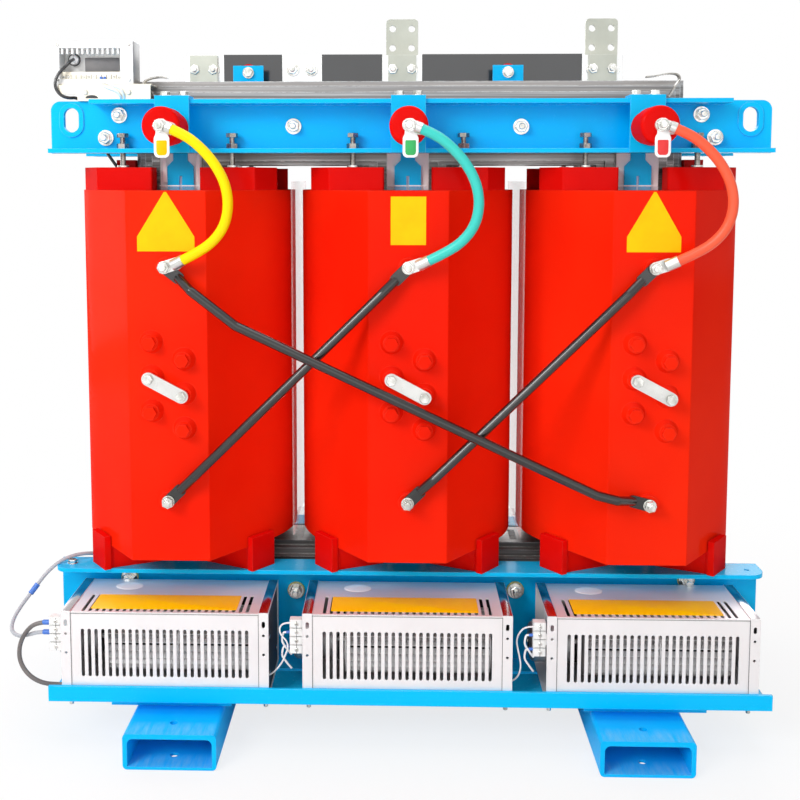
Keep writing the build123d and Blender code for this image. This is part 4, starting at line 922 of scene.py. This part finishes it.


# the dark end plate with its screws and the dark back sheet, both painted shade inside the housing, the
# terminal block's screws and the motor's hub
def addFanEnds(s, x, end, meshes):
    dark, ends, screws = meshes["darks"], meshes["ends"], meshes["screws"]
    # painted shade: a near-black sheet inside the housing's end
    plateX = x + s["half"] - s["end"]["inset"]
    place = facing((plateX, end * s["middleY"], s["middleZ"]), right)
    outline = sideOutline(place, plateX, [(end * y, z) for y, z in s["end"]["outline"]])
    addPlate(ends, place, outline, s["end"]["thickness"])
    for y, z in s["endScrews"]:
        addWasher(screws, facing((plateX + s["end"]["thickness"], end * y, z), right), *s["endScrew"])
    # painted shade: a near-black sheet at the housing's back
    place = facing((x + s["back"]["shift"], end * s["back"]["y"], s["middleZ"]), (0, end, 0))
    addPlate(ends, place, roundedOutline(*s["back"]["size"], 2, 2), s["end"]["thickness"])
    blockX = x - s["half"] + s["block"]["x"]
    for z in s["block"]["z"]:
        place = facing((blockX, end * s["block"]["y"], z), (0, end, 0))
        addLathe(screws, place, [(3.2, 0), (3.2, 1), (2.6, 1.4), (0, 1.4)], 14)
        addLathe(dark, raised(place, 1.4), [(0.9, 0), (0.9, 0.2), (0, 0.2)], 4)
    place = facing((blockX, end * (s["block"]["y"] + 0.1), s["block"]["middleZ"]), (0, end, 0))
    addPlate(dark, place, roundedOutline(0.7, 60, 0.3, 2), s["lineDepth"])
    hub, height = s["motor"]["hub"], s["motor"]["hubHeight"]
    motor = facing((x - s["half"] + s["motor"]["x"], end * s["middleY"], s["motor"]["z"]), (-1, 0, 0))
    addLathe(dark, motor, [(hub, 0), (hub, height), (0, height)], 24)
    addLathe(screws, raised(motor, height), [(4, 0), (4, 2), (3, 3), (0, 3)], 18)


def addRailScrews(s, x, end, screws):
    for side in (-1, 1):
        for screw, direction in ((s["railNut"], -1), (s["railHead"], 1)):
            spot = (x + side * (s["half"] - s["rim"] / 2), end * screw["y"], screw["z"])
            addHexNut(screws, facing(spot, (0, 0, direction)), screw["nut"])


# wire ends at the blocks of the front fans, and the two ferrules at the left end
def addFanWires(s):
    ferrules, wires = bmesh.new(), bmesh.new()
    for x in fanX[1:]:
        nose = x - s["half"] + s["block"]["tailX"]
        for z in (s["block"]["z"][0] + 3, s["block"]["z"][2] - 3):
            place = facing((nose, s["wireY"], z), (-1, 0, 0))
            addLathe(ferrules, place, [(2.6, 0), (2.6, 6), (2.1, 7), (0, 7)], 14)
            corners = [(nose + a, s["wireY"] + b, z + c) for a, b, c in s["tail"]]
            addTube(wires, smoothPath(corners), s["tailRadius"])
    for z in s["leftFerrules"]["z"]:
        place = facing((s["leftFerrules"]["x"], s["wireY"], z), (-1, 0, 0))
        addLathe(ferrules, place, [(4.6, 0), (4.6, 12), (3.9, 14)], 16)
    finishPiece("fan_ferrules", ferrules, "ferruleBlue", "blue_paint")
    finishPiece("fan_tails", wires, "whiteWire")


# the ends pieces are near-black sheets of painted shade inside the fan housings
fanPieces = {
    "stickers": ("yellowFoil", "yellow_lead"), "ovals": ("whiteFoil", "box_plastic"),
    "screws": ("zincBolt", "link_metal"), "darks": ("darkInside", "black_sleeve"),
    "ends": ("darkInside", "black_sleeve"), "rims": ("polishedRim", "bright_sheet"),
}


def addFanDetails(s):
    for end, row in ((-1, "front"), (1, "rear")):
        meshes = {kind: bmesh.new() for kind in fanPieces}
        for x in fanX:
            addFanSheets(s, x, end, meshes)
            addFanEnds(s, x, end, meshes)
            addRailScrews(s, x, end, meshes["screws"])
        for kind, (finish, slotName) in fanPieces.items():
            finishPiece("fan_" + kind + "_" + row, meshes[kind], finish, slotName)
        if row == "front":
            addFanWires(s)


addFanDetails(fanSettings)
print("fan fittings made")

# thermometer box: gland, terminal strip, screws, ferrules and wires
boxSettings = {
    "gland": (-629, -84, 1240),
    "glandProfile": ((0, 0), (11, 0), (11, 4), (9.5, 5), (8.5, 12), (4.5, 14), (3.2, 14)),
    "glandRing": ((11, 4.1), (11.6, 4.6), (11.6, 7), (10, 7.4)),
    "ways": {"count": 12, "left": -649, "width": 114, "y": -110, "z": 1206.5, "halfGap": (0.5, 4.4)},
    # the side plate is a dark grey sheet of painted shade on the box's right side
    "side": {
        "x": -511, "middle": (-93, 1232), "outline": ((-117, 1194), (-69, 1194), (-69, 1271), (-117, 1271)),
    },
    "window": {"place": (-577.5, -84, 1231), "size": (65, 27, 2), "thickness": 2},
    "strip": {"place": (-584, -110, 1206.5), "size": (128, 19, 1), "thickness": 0.3},
    "ferrules": {"x": (-573, -566), "y": -112, "z": 1206, "lean": (0, -0.35, -1)},
    "wireRadius": 2.2,
    "wires": (
        ((-566, -116, 1196), (-559, -121, 1194), (-545, -126, 1188), (-533, -127, 1182), (-528, -127, 1172),
         (-527, -122, 1163.5)),
        ((-573, -116, 1196), (-570, -121, 1190), (-556, -126, 1184), (-541, -127.5, 1178), (-534, -127, 1170),
         (-533, -121, 1163.5)),
    ),
    "shelfScrews": {"x": (-519, -600), "y": -124.2, "z": 1177, "head": {"radius": 5, "height": 3.4}},
    "coverScrews": {"x": (-652, -518), "y": -118, "z": (1200, 1265)},
    "notch": {"place": (-588, -124.2, 1166), "half": (12, 6), "turn": 12},
}
lineDepth = 0.4


def addBoxDetails(s):
    light, dark, metal, blue, wires, greyAndShade, strip = [bmesh.new() for _ in range(7)]
    gland = facing(s["gland"], front)
    addLathe(light, gland, s["glandProfile"], 24)
    addLathe(dark, gland, s["glandRing"], 24)
    ways = s["ways"]
    pitch = ways["width"] / ways["count"]
    gapX, gapZ = ways["halfGap"]
    gap = [(-gapX, -gapZ), (gapX, -gapZ), (gapX, gapZ), (-gapX, gapZ)]
    for way in range(ways["count"]):
        x = ways["left"] + (way + 0.5) * pitch
        place = facing((x, ways["y"], ways["z"]), front)
        addLathe(metal, place, [(2.8, 0), (2.8, 0.8), (2.2, 1.2), (0, 1.2)], 14)
        addPlate(dark, facing((x + pitch / 2, ways["y"], ways["z"]), front), gap, lineDepth)
    # painted shade: a dark grey plate on the box's right side
    side = facing((s["side"]["x"], *s["side"]["middle"]), right)
    addPlate(greyAndShade, side, sideOutline(side, s["side"]["x"], s["side"]["outline"]), 0.8, 0.3)
    outline = roundedOutline(*s["window"]["size"])
    addPlate(greyAndShade, facing(s["window"]["place"], front), outline, s["window"]["thickness"], 0.4)
    outline = roundedOutline(*s["strip"]["size"])
    addPlate(strip, facing(s["strip"]["place"], front), outline, s["strip"]["thickness"])
    for x in s["ferrules"]["x"]:
        place = facing((x, s["ferrules"]["y"], s["ferrules"]["z"]), s["ferrules"]["lean"])
        addLathe(blue, place, [(2.4, 0), (2.4, 9), (1.8, 11), (0, 11)], 14)
    for corners in s["wires"]:
        addTube(wires, smoothPath(corners), s["wireRadius"])
    screws = s["shelfScrews"]
    for x in screws["x"]:
        addHexNut(metal, facing((x, screws["y"], screws["z"]), front), screws["head"])
    screws = s["coverScrews"]
    for x in screws["x"]:
        for z in screws["z"]:
            place = facing((x, screws["y"], z), front)
            addLathe(metal, place, [(2.6, 0), (2.6, 0.8), (1.8, 1.3), (0, 1.3)], 14)
    halfX, halfZ = s["notch"]["half"]
    angles = [math.radians(angle) for angle in range(0, 181, s["notch"]["turn"])]
    arc = [(halfX * math.cos(angle), halfZ * math.sin(angle)) for angle in angles]
    addPlate(dark, facing(s["notch"]["place"], front), arc, lineDepth)
    finishPiece("box_painted_shade_side_and_window", greyAndShade, "greyPlastic", "box_plastic")
    finishPiece("box_strip", strip, "beigePlate")
    finishPiece("box_gland", light, "whiteWire", "box_plastic")
    finishPiece("box_darks", dark, "darkInside", "black_sleeve")
    finishPiece("box_screws", metal, "zincBolt", "link_metal")
    finishPiece("box_ferrules", blue, "ferruleBlue", "blue_paint")
    finishPiece("box_wires", wires, "whiteWire")


addBoxDetails(boxSettings)

# bolts of the low-voltage bars, their posts and brackets
barSettings = {
    "plates": {-438: 242, -226: 230, -10: 242, 418: 242}, "front": 222, "z": 1252, "offset": 20,
    "washer": (14, 2.5), "nut": {"radius": 11, "height": 9, "stud": 6, "shank": 5.8},
    "posts": {"x": (-335, 212), "inset": 6, "z": 1240, "washer": (12, 2.5),
              "nut": {"radius": 10, "height": 8, "turn": 10}},
    "brackets": {"offset": 18, "y": 148, "z": 1167, "nut": {"radius": 8, "height": 6}},
}


def addBarBolts(s):
    metal = bmesh.new()
    for index, (x, back) in enumerate(s["plates"].items()):
        for side in (-1, 1):
            nut = {**s["nut"], "turn": 11 * index + 20 * side}
            for y, end in ((s["front"], -1), (back, 1)):
                addBolt(metal, facing((x + side * s["offset"], y, s["z"]), (0, end, 0)), s["washer"], nut)
    posts, brackets = s["posts"], s["brackets"]
    for x in posts["x"]:
        place = facing((x, flangeEdge - posts["inset"], posts["z"]), front)
        addBolt(metal, place, posts["washer"], posts["nut"])
        for side in (-1, 1):
            place = facing((x + side * brackets["offset"], brackets["y"], brackets["z"]), up)
            addHexNut(metal, place, {**brackets["nut"], "turn": 5 * side})
    finishPiece("bar_nuts", metal, "zincBolt", "link_metal")


addBarBolts(barSettings)

# strips beside the left tie plate, the windings' film, earth straps at the top yoke's ends, a cable sleeve
smallSettings = {
    "strips": {"x": (-457, -394), "y": -107, "low": 1010, "high": 1062, "width": 8, "thickness": 1.2},
    "film": {"y": -113, "low": 996, "high": 1005, "left": -38, "right": 35, "thickness": 0.8, "edge": 2},
    "straps": {
        "y": -94, "half": 1.3, "width": 14,
        "routes": (
            ((-450, 1204.5), (-464, 1206.5), (-482, 1204), (-494, 1198), (-493, 1190), (-482, 1180),
             (-472, 1168)),
            ((440, 1204.5), (456, 1206), (478, 1210), (496, 1209), (501, 1200), (494, 1188), (482, 1168)),
        ),
    },
    "sleeve": {"ends": ((-699, -172, 252), (-710, -182, 237)), "radius": 5.2, "sides": 14},
}


# both sides of a flat band along route, half a thickness away from it
def bandOutline(route, half):
    line = [Vector((x, z)) for x, _, z in smoothPath([(x, 0, z) for x, z in route])]
    above, below = [], []
    for before, spot, after in zip([line[0], *line], line, [*line[1:], line[-1]]):
        ahead = (after - before).normalized()
        above.append((spot.x - ahead.y * half, spot.y + ahead.x * half))
        below.append((spot.x + ahead.y * half, spot.y - ahead.x * half))
    return above + below[::-1]


def addSmallSheets(s):
    strips, straps, film, lines, sleeve = [bmesh.new() for _ in range(5)]
    strip, sheet, strap = s["strips"], s["film"], s["straps"]
    for x in strip["x"]:
        place = facing((x, strip["y"], (strip["low"] + strip["high"]) / 2), front)
        outline = roundedOutline(strip["width"], strip["high"] - strip["low"], 1.5)
        addPlate(strips, place, outline, strip["thickness"], 0.2)
    width, shift = sheet["right"] - sheet["left"], (sheet["left"] + sheet["right"]) / 2
    for x in phaseX:
        place = facing((x + shift, sheet["y"], (sheet["low"] + sheet["high"]) / 2), front)
        outline = roundedOutline(width, sheet["high"] - sheet["low"], 1)
        addPlate(film, place, outline, sheet["thickness"], 0.2)
        place = facing((x + shift, sheet["y"] - sheet["thickness"], sheet["high"] - sheet["edge"] / 2), front)
        addPlate(lines, place, roundedOutline(width, sheet["edge"], 0.5, 2), 0.5)
    place = facing((0, strap["y"], 0), front)
    for route in strap["routes"]:
        outline = flatOutline(place, 0, strap["y"], bandOutline(route, strap["half"]))
        addPlate(straps, place, outline, strap["width"])
    addTube(sleeve, s["sleeve"]["ends"], s["sleeve"]["radius"], s["sleeve"]["sides"])
    finishPiece("tie_strips", strips, "whiteBoard")
    finishPiece("winding_film", film, "clearFilm", "white_board")
    finishPiece("film_edges", lines, "whiteFoil", "white_board")
    finishPiece("earth_straps", straps, "darkBolt", "tinned_copper")
    finishPiece("cable_sleeve", sleeve, "ferruleBlue", "blue_paint")


addSmallSheets(smallSettings)
print("small pieces made")


# studio: pale floor, soft lamps and a white surround
studioSettings = {
    "surround": (1.0, 0.98, 0.96), "surroundStrength": 0.34,
    "floorColour": (0.86, 0.86, 0.86), "floorRoughness": 0.7, "floorZ": -0.5,
    "floorCorners": ((-9000, -6000), (9000, -6000), (9000, 12000), (-9000, 12000)),
    "glowNear": 0.78, "glowFar": 1.0, "fadeStart": 0.75, "fadeGain": 1.1,
    "lamps": {
        "key": ((-2300, -2900, 2600), (0, 0, 650), 1.8, 92),
        "fill": ((2900, -2600, 1700), (100, 0, 600), 3.4, 10),
        "front": ((0, -3600, 700), (0, 0, 600), 3.6, 30),
        "top": ((0, -300, 3600), (0, 0, 900), 3.2, 50),
        "rear": ((900, 3200, 2200), (0, 0, 700), 3.2, 66),
        "rearLeft": ((-3000, 1800, 1600), (0, 0, 700), 3.0, 40),
    },
}


# plain light for what it falls on, and white where the camera or a reflection sees the surround
def addSurround(s):
    world = bpy.data.worlds.new("studio")
    bpy.context.scene.world = world
    world.use_nodes = True
    tree = world.node_tree
    tree.nodes.clear()
    out = tree.nodes.new("ShaderNodeOutputWorld")
    rays = tree.nodes.new("ShaderNodeLightPath")
    mixed = tree.nodes.new("ShaderNodeMixShader")
    colours = ((s["surround"], s["surroundStrength"]), ((1, 1, 1), 1.0))
    for socket, (colour, strength) in zip(mixed.inputs[1:], colours):
        background = tree.nodes.new("ShaderNodeBackground")
        background.inputs["Color"].default_value = (*colour, 1)
        background.inputs["Strength"].default_value = strength
        tree.links.new(background.outputs[0], socket)
    indirect = addMath(tree, "MAXIMUM", rays.outputs["Is Glossy Ray"], rays.outputs["Is Transmission Ray"])
    tree.links.new(addMath(tree, "MAXIMUM", rays.outputs["Is Camera Ray"], indirect), mixed.inputs["Fac"])
    tree.links.new(mixed.outputs[0], out.inputs["Surface"])


def addLamp(name, place, aim, size, power):
    data = bpy.data.lights.new(name, "AREA")
    data.shape = "DISK"
    data.size = size
    data.energy = power
    lamp = bpy.data.objects.new(name, data)
    lamp.location = metres(place)
    lamp.rotation_euler = (metres(aim) - metres(place)).to_track_quat("-Z", "Y").to_euler()
    bpy.context.scene.collection.objects.link(lamp)


# the floor's own glow brings it up to white away from the object and leaves the shadow
def makeFloorFinish(s):
    material = bpy.data.materials.new("paleFloor")
    material.use_nodes = True
    tree = material.node_tree
    shader = tree.nodes["Principled BSDF"]
    shader.inputs["Base Color"].default_value = (*s["floorColour"], 1)
    shader.inputs["Roughness"].default_value = s["floorRoughness"]
    rays = tree.nodes.new("ShaderNodeLightPath")
    glow = tree.nodes.new("ShaderNodeEmission")
    mixed = tree.nodes.new("ShaderNodeMixShader")
    spot = tree.nodes.new("ShaderNodeTexCoord")
    reach = tree.nodes.new("ShaderNodeVectorMath")
    reach.operation = "LENGTH"
    tree.links.new(spot.outputs["Object"], reach.inputs[0])
    fade = addRamp(tree, reach.outputs["Value"], s["fadeStart"], s["fadeGain"])
    rise = addMath(tree, "MULTIPLY", fade, s["glowFar"] - s["glowNear"])
    glowing = addMath(tree, "ADD", rise, s["glowNear"])
    tree.links.new(addMath(tree, "MULTIPLY", rays.outputs["Is Camera Ray"], glowing), mixed.inputs["Fac"])
    tree.links.new(shader.outputs[0], mixed.inputs[1])
    tree.links.new(glow.outputs[0], mixed.inputs[2])
    tree.links.new(mixed.outputs[0], tree.nodes["Material Output"].inputs["Surface"])
    return material


def addFloor(s):
    mesh = bmesh.new()
    mesh.faces.new([mesh.verts.new(metres((x, y, s["floorZ"]))) for x, y in s["floorCorners"]])
    data = bpy.data.meshes.new("floor")
    mesh.to_mesh(data)
    mesh.free()
    data.materials.append(makeFloorFinish(s))
    piece = bpy.data.objects.new("floor", data)
    bpy.context.scene.collection.objects.link(piece)


def addStudio(s):
    addSurround(s)
    for name, (place, aim, size, power) in s["lamps"].items():
        addLamp(name, place, aim, size, power)
    addFloor(s)


addStudio(studioSettings)
bpy.context.scene.view_settings.view_transform = "Standard"
print("studio set")
